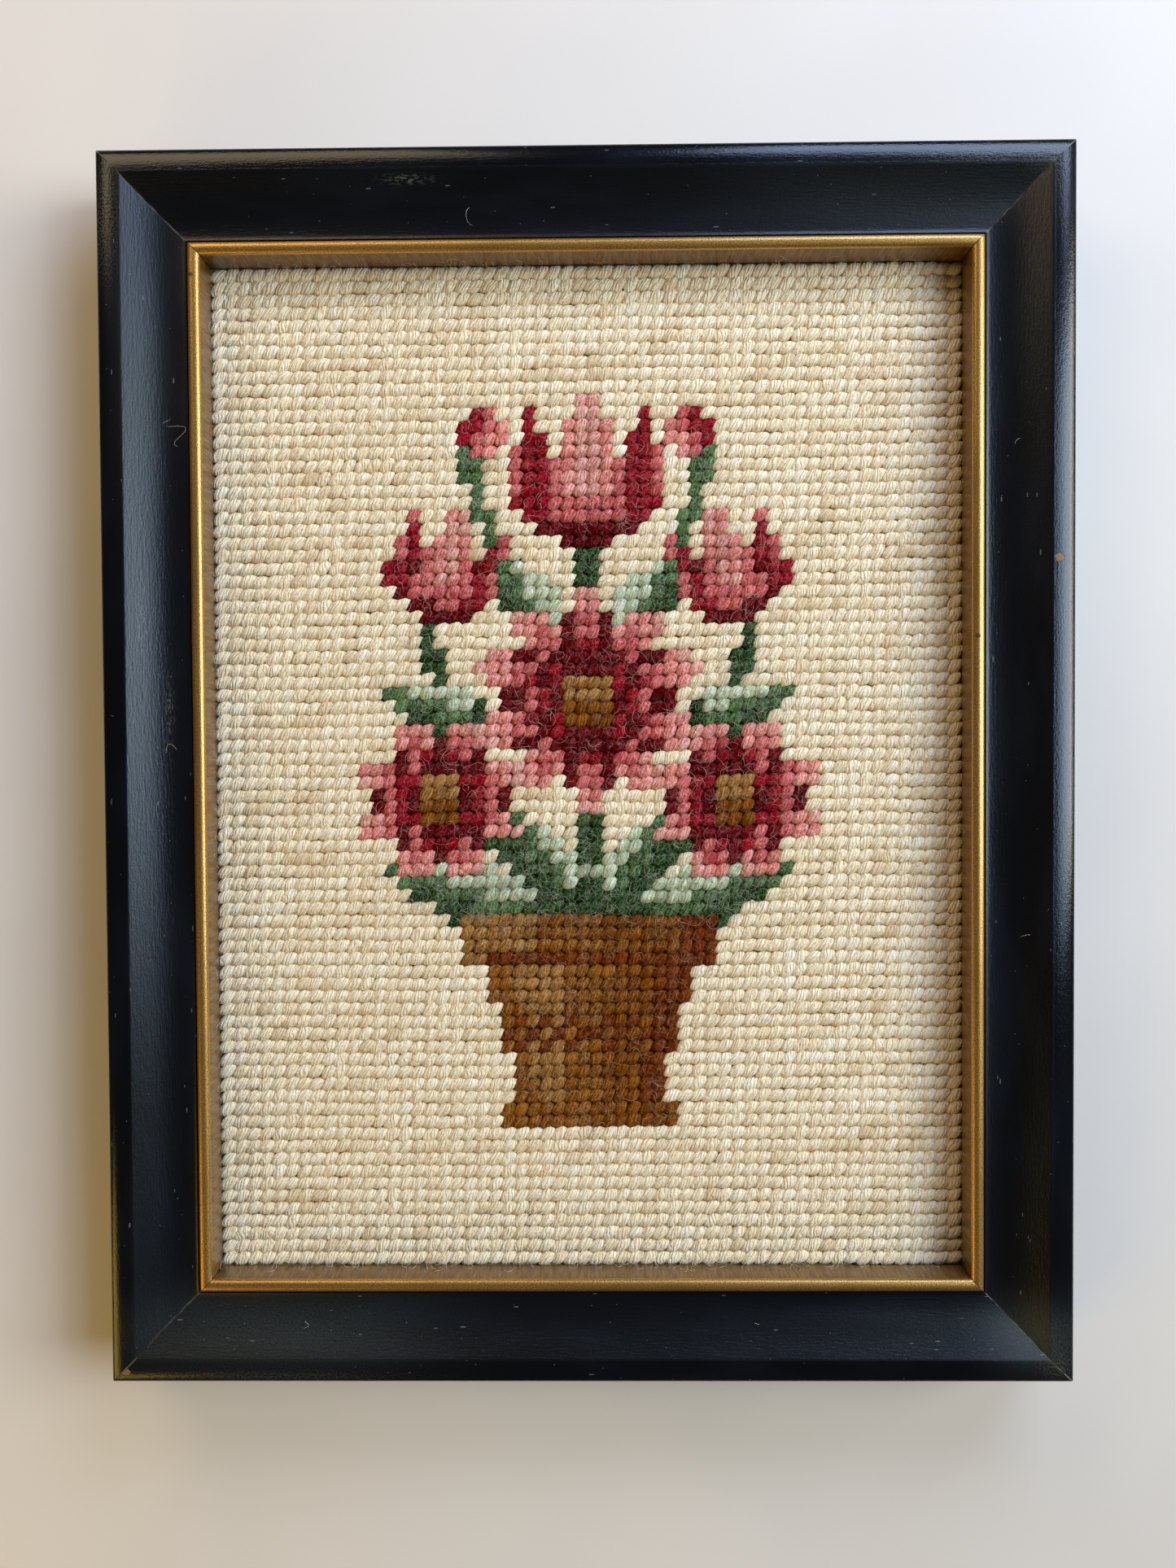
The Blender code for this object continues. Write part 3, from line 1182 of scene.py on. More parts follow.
    def fringe(self) -> np.ndarray:
        """Curls the fibres along the edges, which turn up where they meet the upright gilt wall.

        Returns:
            Points as (fibre, point, xyz).
        """
        random = np.random.default_rng(31)
        half_x, half_y = self.layout.sight
        groups = []
        for seed, (count, turn) in enumerate(self.edges, 50):
            out = math.radians(turn)
            near, far = (half_y, half_x) if turn % 180 else (half_x, half_y)
            along = random.uniform(2 * MM - far, far - 2 * MM, count)
            inset = near - random.uniform(0.6, 2.2, count) * MM
            start = np.column_stack([
                inset * math.cos(out) - along * math.sin(out),
                inset * math.sin(out) + along * math.cos(out),
                np.full(count, self.layout.sheet_front - self.root),
            ])
            length = random.uniform(1.2, 3.4, count) * MM
            heading = out + random.normal(0, 0.9, count)
            path = self.paths(start, heading, length, random.uniform(0.4, 2.2, count) * MM, seed)
            reach = path[..., 0] * math.cos(out) + path[..., 1] * math.sin(out)
            past = np.maximum(reach - (near - self.wall_gap), 0)
            groups.append(path + past[..., None] * np.array([-math.cos(out), -math.sin(out), self.climb]))
        return np.concatenate(groups)

    def lint(self) -> np.ndarray:
        """Curls the lint that lies on the paint, just above it.

        Returns:
            Points as (fibre, point, xyz).
        """
        lying = np.array(self.lying)
        start = lying[:, [0, 1, 4]] * MM + np.array([0, 0, 0.05 * MM])
        rise = np.full(len(lying), 0.35 * MM)
        return self.paths(start, np.radians(lying[:, 2]), lying[:, 3] * MM, rise, 61)

    def build(self) -> list[bpy.types.Object]:
        """Makes the fibres over each group of yarns, those along the edges, and the lint on the paint.

        Returns:
            The pieces, the lint last.
        """
        pieces = []
        for seed, (name, yarns, count, finish) in enumerate(self.tufts, 40):
            pieces.append(self.piece(name, self.tuft(yarns, count, seed), finish.build()))
        cream = pieces[-1].data.materials[0]
        edges = self.piece("edge_fibres", self.fringe(), cream)
        return [*pieces, edges, self.piece("lint", self.lint(), cream)]


def dress(piece: bpy.types.Object, slot: str, *nodes: str) -> bpy.types.Object:
    """Ties a finished piece to the frame's body, and hides the solids that it stands for.

    Args:
        piece: the finished piece.
        slot: not used.
        nodes: the solids that it replaces.

    Returns:
        The same piece.
    """
    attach(piece, BODY)
    if nodes:
        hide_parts(*nodes)
    log.info("%s: %d faces", piece.name, len(piece.data.polygons))
    return piece


class Side(IntEnum):
    """The sides of the frame, each a quarter turn to the left of the one before."""

    TOP = 0
    LEFT = 1
    BOTTOM = 2
    RIGHT = 3


class Wear(Enum):
    """What has happened to the moulding, by the name of the value that the paint's material reads."""

    WORN = "worn"
    DUSTY = "dusty"
    SCUFFED = "scuffed"


@dataclass(frozen=True)
class Mark:
    """A worn or scuffed place on the moulding, or one of dust and painted sheen: a soft spot in the
    picture's own axes.

    Attributes:
        kind: what has happened there.
        x: its middle.
        y: its middle.
        reach: how far it goes along X and Y before it has faded.
        strength: how strong it is at its middle.
    """

    kind: Wear
    x: float
    y: float
    reach: Point
    strength: float

    def felt(self, points: np.ndarray) -> np.ndarray:
        """Works out how strong the mark is: a bell of the distance from its middle.

        Args:
            points: places with x, y and z last.

        Returns:
            The strength at each place.
        """
        right, up = (points[..., 0] - self.x) / self.reach[0], (points[..., 1] - self.y) / self.reach[1]
        return self.strength * np.exp(-1.5 * (right**2 + up**2))


@dataclass
class Moulding:
    """A mitred border of four lengths that share one section.

    Attributes:
        layout: where the pieces stand.
        prefix: the first word of the pieces' names.
        steps: rings along each length.
        joint: half the open line at each mitre.
        chamfer: how far the finish rounds over at a mitre.
        marks: worn places, and places of dust and painted sheen.
        chips: one small missing spot of the finish for each side that has one, in the picture's own axes.
        shift: how far the grain moves along from one side to the next, so that no two sides are the same.
        crease: the angle past which an edge stays sharp.
    """

    layout: Layout
    prefix: str
    steps: int = 110
    joint: float = 0.03 * MM
    chamfer: float = 0.1 * MM
    marks: tuple[Mark, ...] = ()
    chips: dict[Side, Point] = field(default_factory=dict)
    shift: float = 0.7
    crease: float = math.radians(38)

    def section(self) -> np.ndarray:
        """The outline across the moulding: distance inwards from the outer side, and height."""
        raise NotImplementedError

    def slots(self, section: np.ndarray) -> np.ndarray:
        """The material slot of each stretch of the outline."""
        return np.zeros(len(section), int)

    @staticmethod
    def inward(section: np.ndarray) -> np.ndarray:
        """Finds the way into the wood: square to the line from each point's last neighbour to its next.

        Args:
            section: the outline.

        Returns:
            A unit direction for each point.
        """
        run = np.roll(section, -1, axis=0) - np.roll(section, 1, axis=0)
        normal = np.stack([run[:, 1], -run[:, 0]], axis=-1)
        return normal / np.linalg.norm(normal, axis=-1, keepdims=True)

    def build(self, side: Side, materials: list[bpy.types.Material]) -> bpy.types.Object:
        """One length of moulding, with both ends cut at 45 degrees and slightly rounded over.

        A ring of the outline is repeated along the length. Each point of it runs from mitre to mitre, so
        its share of the way is the same for all points and its place is share times the point's own half
        length. Each side is turned by quarter turns from the top one.

        Args:
            side: where it goes.
            materials: the materials of its slots.

        Returns:
            The piece.
        """
        section = self.section()
        half, out = self.layout.outer if side in (Side.TOP, Side.BOTTOM) else self.layout.outer[::-1]
        cos, sin = round(math.cos(side * math.pi / 2)), round(math.sin(side * math.pi / 2))
        mitre = half - section[:, 0] - self.joint
        shares = np.linspace(-1, 1, self.steps + 1)[:, None]
        along = np.concatenate([-mitre[None, :], shares * (mitre - self.chamfer)[None, :], mitre[None, :]])
        rounded = np.zeros((self.steps + 3, 1))
        rounded[[0, -1]] = self.chamfer
        moved = section[None, :, :] + rounded[..., None] * self.inward(section)[None, :, :]
        away = out - moved[..., 0]
        points = np.stack([along * cos - away * sin, along * sin + away * cos, moved[..., 1]], axis=-1)

        rings, around = along.shape
        ring, at = np.meshgrid(np.arange(rings - 1), np.arange(around), indexing="ij")
        after = (at + 1) % around
        low, high = ring * around, (ring + 1) * around
        quads = np.stack([low + at, low + after, high + after, high + at], axis=-1).reshape(-1)
        last = (rings - 1) * around
        corners = np.concatenate([quads, np.arange(around)[::-1], last + np.arange(around)])
        sizes = np.concatenate([np.full(len(quads) // 4, 4), [around, around]])

        steps = np.linalg.norm(np.roll(section, -1, axis=0) - section, axis=-1)
        travelled = np.concatenate([[0.0], np.cumsum(steps)])
        run = np.stack([ring, ring, ring + 1, ring + 1], axis=-1).reshape(-1)
        line = np.stack([at, at + 1, at + 1, at], axis=-1).reshape(-1)
        cap = np.concatenate([np.arange(around)[::-1], np.arange(around)])
        grain = np.stack(
            [
                np.concatenate([along[run, line % around], section[cap, 0]]) + side * self.shift,
                np.concatenate([travelled[line], section[cap, 1]]),
            ],
            axis=-1,
        )
        plan = points.reshape(-1, 3)[corners, :2]
        # A side without a chip gets one that lies metres away
        chip = plan - np.array(self.chips.get(side, (9.0, 9.0)))
        values = {"mitre": (mitre[None, :] - np.abs(along)).reshape(-1)}
        values["across"] = np.broadcast_to(section[None, :, 0], along.shape).reshape(-1)
        for kind in Wear:
            felt = [mark.felt(points) for mark in self.marks if mark.kind is kind]
            values[kind.value] = np.clip(sum(felt, np.zeros(along.shape)), 0, 1).reshape(-1)
        surface = Surface(
            points.reshape(-1, 3),
            corners,
            sizes,
            maps={"grain": grain, "chip": chip},
            values=values,
            slots=np.concatenate([np.tile(self.slots(section), rings - 1), [0, 0]]),
        )
        name = f"{self.prefix}_{side.name.lower()}_finish"
        return surface.to_object(name, materials, self.crease)


@dataclass
class BlackRail(Moulding):
    """The wooden rail: a low rounded nose outside, a cove falling inwards, and a rebate behind.

    Attributes:
        shoulder: the height where the outer side turns into the nose.
        crest: how far in the nose is highest.
        inner_radius: the radius of the arc from the nose into the cove.
        cove_start: how steep the cove starts.
        steep_handle: the first handle of the cove's curve.
        flat_handle: the second handle of the cove's curve.
        width: how far in the rail goes.
        inner_height: the height of its inner edge.
        rebate_start: how far in the rebate starts.
        rebate_height: the height of the rebate.
        lip: points round the small lip of thick paint along the inner edge, in millimetres from that edge.
        outer_points: points up the outer side.
        nose_points: points over the nose.
        arc_points: points round the small arc.
        cove_points: points down the cove.
    """

    prefix: str = "rail"
    shoulder: float = 16.8 * MM
    crest: float = 4.3 * MM
    inner_radius: float = 1.0 * MM
    cove_start: float = math.radians(31)
    steep_handle: Point = (8.4 * MM, 15.69 * MM)
    flat_handle: Point = (11.2 * MM, 13.85 * MM)
    width: float = 15.7 * MM
    inner_height: float = 13.95 * MM
    rebate_start: float = 12.8 * MM
    rebate_height: float = 10.5 * MM
    lip: tuple[Point, ...] = ((-0.6, -0.06), (-0.35, -0.01), (-0.2, 0.06), (-0.08, 0.08), (0.0, -0.05))
    outer_points: int = 5
    nose_points: int = 18
    arc_points: int = 6
    cove_points: int = 30

    def section(self) -> np.ndarray:
        """Draws the outline: a quarter ellipse and a small arc for the nose, a cubic curve, and lines.

        Returns:
            Distance inwards and height of each point.
        """
        top = self.layout.rail_top
        angle = np.linspace(np.pi, np.pi / 2, self.nose_points)
        in_by = self.crest + self.crest * np.cos(angle)
        up_by = self.shoulder + (top - self.shoulder) * np.sin(angle)
        nose = np.stack([in_by, up_by], axis=-1)
        angle = np.linspace(np.pi / 2, np.pi / 2 - self.cove_start, self.arc_points + 1)[1:]
        centre = np.array([self.crest, top - self.inner_radius])
        fall = centre + self.inner_radius * np.stack([np.cos(angle), np.sin(angle)], axis=-1)
        lip = np.array([self.width, self.inner_height]) + np.array(self.lip) * MM
        share = np.linspace(0, 1, self.cove_points + 1)[1:, None]
        knots = (fall[-1], self.steep_handle, self.flat_handle, lip[0])
        weights = ((1 - share) ** 3, 3 * (1 - share) ** 2 * share, 3 * (1 - share) * share**2, share**3)
        cove = sum(w * np.array(k)[None, :] for w, k in zip(weights, knots))
        up = np.linspace(0, self.shoulder, self.outer_points + 1)[:-1]
        side = np.stack([np.zeros(self.outer_points), up], axis=-1)
        rebate = np.array([
            (self.width, self.rebate_height),
            (self.rebate_start, self.rebate_height),
            (self.rebate_start, 0.0),
        ])
        return np.concatenate([side, nose, fall, cove, lip[1:], rebate])

    def slots(self, section: np.ndarray) -> np.ndarray:
        """Paints the outer side, the face and the inner edge, and leaves the rebate and the back bare.

        Args:
            section: the outline.

        Returns:
            The material slot of each stretch.
        """
        slots = np.zeros(len(section), int)
        slots[-3:] = 1
        return slots


@dataclass
class GiltSlip(Moulding):
    """The gilt sight edge: a half-round bead over an upright wall, with a foot under the rail's lip.

    Attributes:
        foot: how far in the foot starts.
        foot_height: the height of its top.
        outer: how far in the bead starts.
        bead_base: the height that the bead rises from.
        width: how far in the wall stands.
        base: the height of its lower edge.
        wall_heights: the heights of the points on the wall.
        bead_points: points over the bead.
    """

    prefix: str = "slip"
    steps: int = 64
    joint: float = 0.02 * MM
    chamfer: float = 0.06 * MM
    foot: float = 13.1 * MM
    foot_height: float = 10.2 * MM
    outer: float = 15.8 * MM
    bead_base: float = 13.6 * MM
    width: float = 18.2 * MM
    base: float = 7.6 * MM
    wall_heights: Point = (11.6 * MM, 9.6 * MM)
    bead_points: int = 19

    def section(self) -> np.ndarray:
        """Draws the outline: foot, outer side, half an ellipse for the bead, and the wall.

        Returns:
            Distance inwards and height of each point.
        """
        half = (self.width - self.outer) / 2
        rise = self.layout.slip_top - self.bead_base
        angle = np.linspace(np.pi, 0, self.bead_points)
        bead = (self.outer + half + half * np.cos(angle), self.bead_base + rise * np.sin(angle))
        foot = np.array([
            (self.foot, self.base + 0.3 * MM),
            (self.foot, self.foot_height),
            (self.outer, self.foot_height),
        ])
        wall = np.array([(self.width, height) for height in (*self.wall_heights, self.base)])
        return np.concatenate([foot, np.stack(bead, axis=-1), wall])


def scattered_flecks(
    tree: bpy.types.NodeTree, place: Any, size: Point, limit: Any, radius: Point
) -> bpy.types.Node:
    """Scatters small flecks, at most one in each cell.

    Args:
        tree: the material's node tree.
        place: where on the surface.
        size: the cells' length and width, which the flecks are stretched by too.
        limit: the share of cells without a fleck.
        radius: the least and largest radius as a share of a cell.

    Returns:
        One inside a fleck, else zero.
    """
    spread = add_node(tree, "Mapping", place, named={"Scale": (1 / size[0], 1 / size[1], 1.0)})
    cells = add_node(tree, "TexVoronoi", spread, 1.0)
    pick = add_node(tree, "SeparateColor", cells.outputs["Color"]).outputs
    reach = add_node(tree, "Math", pick[1], radius[1] - radius[0], radius[0], operation="MULTIPLY_ADD")
    near = add_node(tree, "Math", cells.outputs["Distance"], reach, operation="LESS_THAN")
    chosen = add_node(tree, "Math", pick[0], limit, operation="GREATER_THAN")
    return add_node(tree, "Math", chosen, near, operation="MULTIPLY")


def ragged_chip(tree: bpy.types.NodeTree, radius: float, ragged: float) -> bpy.types.Node:
    """Marks a small ragged spot at the chip's place, from the map "chip" of offsets from its middle.

    Args:
        tree: the material's node tree.
        radius: the spot's radius.
        ragged: the size of the bites along its edge.

    Returns:
        One inside the spot and zero outside.
    """
    place = add_node(tree, "UVMap", uv_map="chip")
    away = add_node(tree, "VectorMath", place, operation="LENGTH")
    bites = soft_grains(tree, place, (ragged, ragged, 1.0), 2.0)
    edge = add_node(tree, "Math", bites, -1.6 * radius, away, operation="MULTIPLY_ADD")
    return add_node(tree, "MapRange", edge, 0.25 * radius, 0.0, interpolation_type="SMOOTHSTEP")


@dataclass(frozen=True)
class BlackPaint:
    """Black oil paint brushed on softwood: satin, faintly navy, with lengthwise brush marks and dust in it.

    Attributes:
        name: the material's name.
        body: the paint's colour.
        faded: its colour in faded patches.
        worn: the olive undercoat.
        dust: the colour of dust, which at the lower right corner is also painted sheen.
        scuff: the streaks that knocks have left.
        speck: dust specks and scratches.
        ground: the pale ground under the paint, which shows along the mitres.
        bare: the wood in the chips.
        shine: the tint of its shine.
        brush: the length and width of a brush mark.
        wrinkle: the length and width of a wrinkle in the paint.
    """

    name: str = "brushed_black_paint"
    body: str = "06080E"
    faded: str = "0C1018"
    worn: str = "4C4E40"
    dust: str = "5F6863"
    scuff: str = "83827F"
    speck: str = "9FA6A6"
    ground: str = "8E8C86"
    bare: str = "7A5B44"
    shine: str = "DCE8F2"
    brush: Point = (3.2 * MM, 0.42 * MM)
    wrinkle: Point = (1.1 * MM, 0.36 * MM)

    def build(self) -> bpy.types.Material:
        """Makes the material. It reads the map "grain", along and across the wood, and the rail's values.

        Each colour is laid over those before it as far as the product of two values goes.

        Returns:
            The material.
        """
        material, tree = start_material(self.name)
        place = add_node(tree, "UVMap", uv_map="grain")
        mitre, across, worn, dusty, scuffed = (
            add_node(tree, "Attribute", attribute_name=name).outputs["Fac"]
            for name in ("mitre", "across", *(kind.value for kind in Wear))
        )
        strokes = soft_grains(tree, place, (*self.brush, 1.0), 3.0, 0.6)
        wrinkles = soft_grains(tree, place, (*self.wrinkle, 1.0), 2.0, 0.6)
        patches = soft_grains(tree, place, (26 * MM, 7 * MM, 1.0), 2.0)
        grit = soft_grains(tree, place, (0.4 * MM, 0.35 * MM, 1.0), 2.0, 0.7)
        breaks = soft_grains(tree, place, (2.2 * MM, 2.2 * MM, 1.0), 2.0)
        # Each reads a value, the limits that it is eased between, and what it gives at them
        patchy, rubbed, dust_sheen_film, nicked, line, broken, nose = (
            add_node(tree, "MapRange", *limits, interpolation_type="SMOOTHSTEP")
            for limits in (
                (patches, 0.4, 0.75, 0.0, 1.0),
                (grit, 0.42, 0.62, 0.0, 1.0),
                (grit, 0.25, 0.75, 0.1, 0.36),
                (wrinkles, 0.48, 0.62, 0.0, 0.6),
                (mitre, 0.2 * MM, 0.08 * MM, 0.0, 1.0),
                (breaks, 0.4, 0.6, 0.15, 0.8),
                (across, 4.8 * MM, 3.8 * MM, 0.0, 1.0),
            )
        )
        # There are more specks where dust and painted sheen lie
        limit = add_node(tree, "Math", dusty, -0.5, 0.7, operation="MULTIPLY_ADD")
        speck = scattered_flecks(tree, place, (1.5 * MM, 1.5 * MM), limit, (0.04, 0.08))
        scratch = scattered_flecks(tree, place, (5.0 * MM, 1.2 * MM), 0.8, (0.06, 0.12))
        raised = add_node(tree, "Math", speck, scratch, operation="MAXIMUM")
        chip = ragged_chip(tree, 0.9 * MM, 0.5 * MM)
        layers = (
            (patchy, 1.0, self.faded),
            # The nose is rubbed down where it was handled: an olive undercoat shows in flecks
            (worn, rubbed, self.worn),
            # A layer of dust dulls the paint, most of all at the lower right corner, where it is also
            # painted sheen
            (dusty, dust_sheen_film, self.dust),
            # Knocks have left pale streaks
            (scuffed, nicked, self.scuff),
            # Dust specks dried in the paint, and there are short scratches
            (raised, 0.25, self.speck),
            # The paint is chipped along the mitres, where a pale broken line shows
            (line, broken, self.ground),
            (chip, 1.0, self.bare),
        )
        colour = linear(self.body)
        for where, much, tint in layers:
            share = add_node(tree, "Math", where, much, operation="MULTIPLY")
            colour = add_node(tree, "Mix", share, colour, linear(tint), data_type="RGBA")
        # The nose is polished by handling, and the cove is duller
        rough = 0.27
        for value, change in ((nose, -0.16), (patches, 0.06), (dusty, 0.15), (chip, 0.3)):
            rough = add_node(tree, "Math", value, change, rough, operation="MULTIPLY_ADD")
        smoothed = add_node(tree, "MapRange", nose, 0.0, 1.0, 1.0, 0.3, interpolation_type="SMOOTHSTEP")
        brushed = add_node(tree, "Math", strokes, smoothed, operation="MULTIPLY")
        proud = add_node(tree, "Math", raised, chip, operation="SUBTRACT")
        relief = {}
        for height, depth, strength in (
            (brushed, 0.06 * MM, 0.8),
            (wrinkles, 0.03 * MM, 0.8),
            (grit, 0.02 * MM, 0.8),
            (proud, 0.06 * MM, 1.0),
        ):
            shape = {"Height": height, "Distance": depth, "Strength": strength}
            relief = {"Normal": add_node(tree, "Bump", named=shape | relief)}
        look = {"Base Color": colour, "Roughness": rough, "Specular Tint": linear(self.shine)}
        add_node(tree, "OutputMaterial", add_node(tree, "BsdfPrincipled", named=look | relief))
        return material


@dataclass(frozen=True)
class BareSoftwood:
    """Planed softwood left bare at the back, yellowed, with straight grain along the length.

    Attributes:
        name: the material's name.
        early: the colour of the spring wood.
        late: the colour of the denser summer wood.
        pore: the colour of the pores.
    """

    name: str = "bare_softwood"
    early: str = "C9A26B"
    late: str = "9A6E3C"
    pore: str = "6B4723"

    def build(self) -> bpy.types.Material:
        """Makes the material. It reads the map "grain", along and across the wood.

        Returns:
            The material.
        """
        material, tree = start_material(self.name)
        place = add_node(tree, "UVMap", uv_map="grain")
        bands = soft_grains(tree, place, (120 * MM, 1.6 * MM, 1.0), 3.0, 0.6)
        pores = soft_grains(tree, place, (4 * MM, 0.15 * MM, 1.0), 1.0)
        colour = linear(self.early)
        for value, low, high, most, tint in (
            (bands, 0.4, 0.6, 1.0, self.late),
            (pores, 0.62, 0.7, 0.5, self.pore),
        ):
            share = add_node(tree, "MapRange", value, low, high, 0.0, most, interpolation_type="SMOOTHSTEP")
            colour = add_node(tree, "Mix", share, colour, linear(tint), data_type="RGBA")
        relief = add_node(tree, "Bump", named={"Height": pores, "Distance": 0.04 * MM, "Strength": 0.5})
        look = {"Base Color": colour, "Roughness": 0.7, "Normal": relief}
        add_node(tree, "OutputMaterial", add_node(tree, "BsdfPrincipled", named=look))
        return material


@dataclass(frozen=True)
class BronzePowderGilt:
    """Gold paint of bronze powder on gesso: a grainy soft shine, browner on the wall, in painted shade.

    Attributes:
        name: the material's name.
        bright: the colour of the bronze powder.
        dull: its colour where it has dulled.
        brown: its colour on the wall, where it is painted shade.
        dark: the black paint that has crept over it, and its pits.
    """

    name: str = "bronze_powder_gilt"
    bright: str = "D6AA60"
    dull: str = "906A2C"
    brown: str = "5C3C17"
    dark: str = "221910"

    def build(self) -> bpy.types.Material:
        """Makes the material. It reads the map "grain" and the values "across" and "mitre" of the moulding.

        Returns:
            The material.
        """
        material, tree = start_material(self.name)
        place = add_node(tree, "UVMap", uv_map="grain")
        across, mitre = (
            add_node(tree, "Attribute", attribute_name=name).outputs["Fac"] for name in ("across", "mitre")
        )
        here = add_node(tree, "TexCoord").outputs["Object"]
        height = add_node(tree, "SeparateXYZ", here).outputs["Z"]
        powder = soft_grains(tree, place, (0.3 * MM, 0.22 * MM, 1.0), 2.0, 0.7)
        rubbed = soft_grains(tree, place, (1.6 * MM, 0.3 * MM, 1.0), 3.0, 0.7)
        patches = soft_grains(tree, place, (14 * MM, 4 * MM, 1.0), 2.0)
        brushed = soft_grains(tree, place, (0.5 * MM, 5.0 * MM, 1.0), 3.0, 0.6)
        wall = add_node(tree, "MapRange", height, 13.75 * MM, 13.3 * MM, interpolation_type="SMOOTHSTEP")
        # Each reads a value, the limits that it is eased between, and what it gives at them
        shiny, dulled, brush, outer, ragged, pitted, bead, joint = (
            add_node(tree, "MapRange", *limits, interpolation_type="SMOOTHSTEP")
            for limits in (
                (powder, 0.36, 0.62, 0.0, 1.0),
                (patches, 0.45, 0.75, 0.0, 0.4),
                (brushed, 0.3, 0.65, 0.6, 0.95),
                (across, 16.1 * MM, 15.9 * MM, 0.0, 1.0),
                (rubbed, 0.4, 0.52, 0.0, 1.0),
                (rubbed, 0.64, 0.7, 0.0, 1.0),
                (wall, 0.5, 0.0, 0.0, 1.0),
                (mitre, 0.12 * MM, 0.05 * MM, 0.0, 0.7),
            )
        )
        # The wall's brown is painted shade, and the wall shows the brush, which went down it. Black paint
        # has crept over the bead's outer edge, and small pits show dark along its ridge
        wall_shade, crept, pits = (
            add_node(tree, "Math", first, second, operation="MULTIPLY")
            for first, second in ((wall, brush), (outer, ragged), (pitted, bead))
        )
        stain = crept
        for more in (pits, ragged_chip(tree, 0.5 * MM, 0.3 * MM), joint):
            stain = add_node(tree, "Math", stain, more, operation="MAXIMUM")
        dark = add_node(tree, "Math", stain, 0.85, operation="MULTIPLY")
        colour = linear(self.dull)
        layers = ((shiny, self.bright), (dulled, self.dull), (wall_shade, self.brown), (dark, self.dark))
        for share, tint in layers:
            colour = add_node(tree, "Mix", share, colour, linear(tint), data_type="RGBA")
        covered = add_node(tree, "Math", wall, stain, operation="MAXIMUM")
        relief = {"Height": powder, "Distance": 0.04 * MM, "Strength": 0.8}
        look = {
            "Base Color": colour,
            "Coat Weight": 0.5,
            "Coat Roughness": 0.22,
            "Metallic": add_node(tree, "Math", covered, -0.55, 0.8, operation="MULTIPLY_ADD"),
            "Roughness": add_node(tree, "Math", powder, -0.12, 0.42, operation="MULTIPLY_ADD"),
            "Normal": add_node(tree, "Bump", named=relief),
        }
        add_node(tree, "OutputMaterial", add_node(tree, "BsdfPrincipled", named=look))
        return material


@dataclass(frozen=True)
class CottonCanvas:
    """Stiff cotton canvas, a plain open weave of ten threads to the inch, tan from age and in shade.

    Attributes:
        name: the material's name.
        thread: the cotton's colour.
        hole: the colour in the holes, painted shade.
        pitch: the distance between threads.
    """

    name: str = "cotton_canvas"
    thread: str = "B9A37C"
    hole: str = "4C3B25"
    pitch: float = 2.5 * MM

    def build(self) -> bpy.types.Material:
        """Makes the material: the higher of the absolute sines of x and of y, one wave for each thread.

        Returns:
            The material.
        """
        material, tree = start_material(self.name)
        here = add_node(tree, "TexCoord").outputs["Object"]
        parts = add_node(tree, "SeparateXYZ", here).outputs
        waves = []
        for axis in ("X", "Y"):
            turned = add_node(tree, "Math", parts[axis], math.pi / self.pitch, operation="MULTIPLY")
            sine = add_node(tree, "Math", turned, operation="SINE")
            waves.append(add_node(tree, "Math", sine, operation="ABSOLUTE"))
        weave = add_node(tree, "Math", *waves, operation="MAXIMUM")
        share = add_node(tree, "MapRange", weave, 0.5, 0.8, interpolation_type="SMOOTHSTEP")
        colour = add_node(tree, "Mix", share, linear(self.hole), linear(self.thread), data_type="RGBA")
        relief = add_node(tree, "Bump", named={"Height": weave, "Distance": 0.3 * MM, "Strength": 0.8})
        look = {"Base Color": colour, "Roughness": 0.9, "Normal": relief}
        add_node(tree, "OutputMaterial", add_node(tree, "BsdfPrincipled", named=look))
        return material


@dataclass
class Canvas:
    """The canvas behind the stitches: one thin stretched sheet.

    Attributes:
        layout: where the pieces stand.
        height: the middle of the canvas above the frame's back.
        thickness: how thick it is.
        cells: divisions along X and Y.
        sway: how far the sheet rises and falls, and the length of its waves.
        crease: the angle past which an edge stays sharp.
    """

    layout: Layout
    height: float = 5.9 * MM
    thickness: float = 0.4 * MM
    cells: tuple[int, int] = (40, 52)
    sway: Point = (0.05 * MM, 50 * MM)
    crease: float = math.radians(40)

    def build(self) -> bpy.types.Object:
        """Makes the sheet: a front grid, a back grid turned over, and a strip between their edges.

        Returns:
            The sheet.
        """
        half_x, half_y = self.layout.sheet
        across, up = self.cells
        x, y = np.meshgrid(np.linspace(-half_x, half_x, across + 1), np.linspace(-half_y, half_y, up + 1))
        z = self.height + self.sway[0] * slow_waves(x, y, self.sway[1], 8)
        points = np.concatenate([
            np.stack([x, y, z + way * self.thickness / 2], axis=-1).reshape(-1, 3) for way in (1, -1)
        ])
        grid = np.arange((across + 1) * (up + 1)).reshape(up + 1, across + 1)
        squares = [grid[:-1, :-1], grid[:-1, 1:], grid[1:, 1:], grid[1:, :-1]]
        faces = np.stack(squares, axis=-1).reshape(-1, 4)
        rim = np.concatenate([grid[0, :-1], grid[:-1, -1], grid[-1, :0:-1], grid[:0:-1, 0]])
        onward = np.roll(rim, -1)
        below = len(points) // 2
        strip = np.stack([rim, rim + below, onward + below, onward], axis=-1)
        corners = np.concatenate([faces, faces[:, ::-1] + below, strip]).reshape(-1)
        surface = Surface(points, corners, np.full(len(corners) // 4, 4))
        return surface.to_object("canvas_sheet", [CottonCanvas().build()], self.crease)


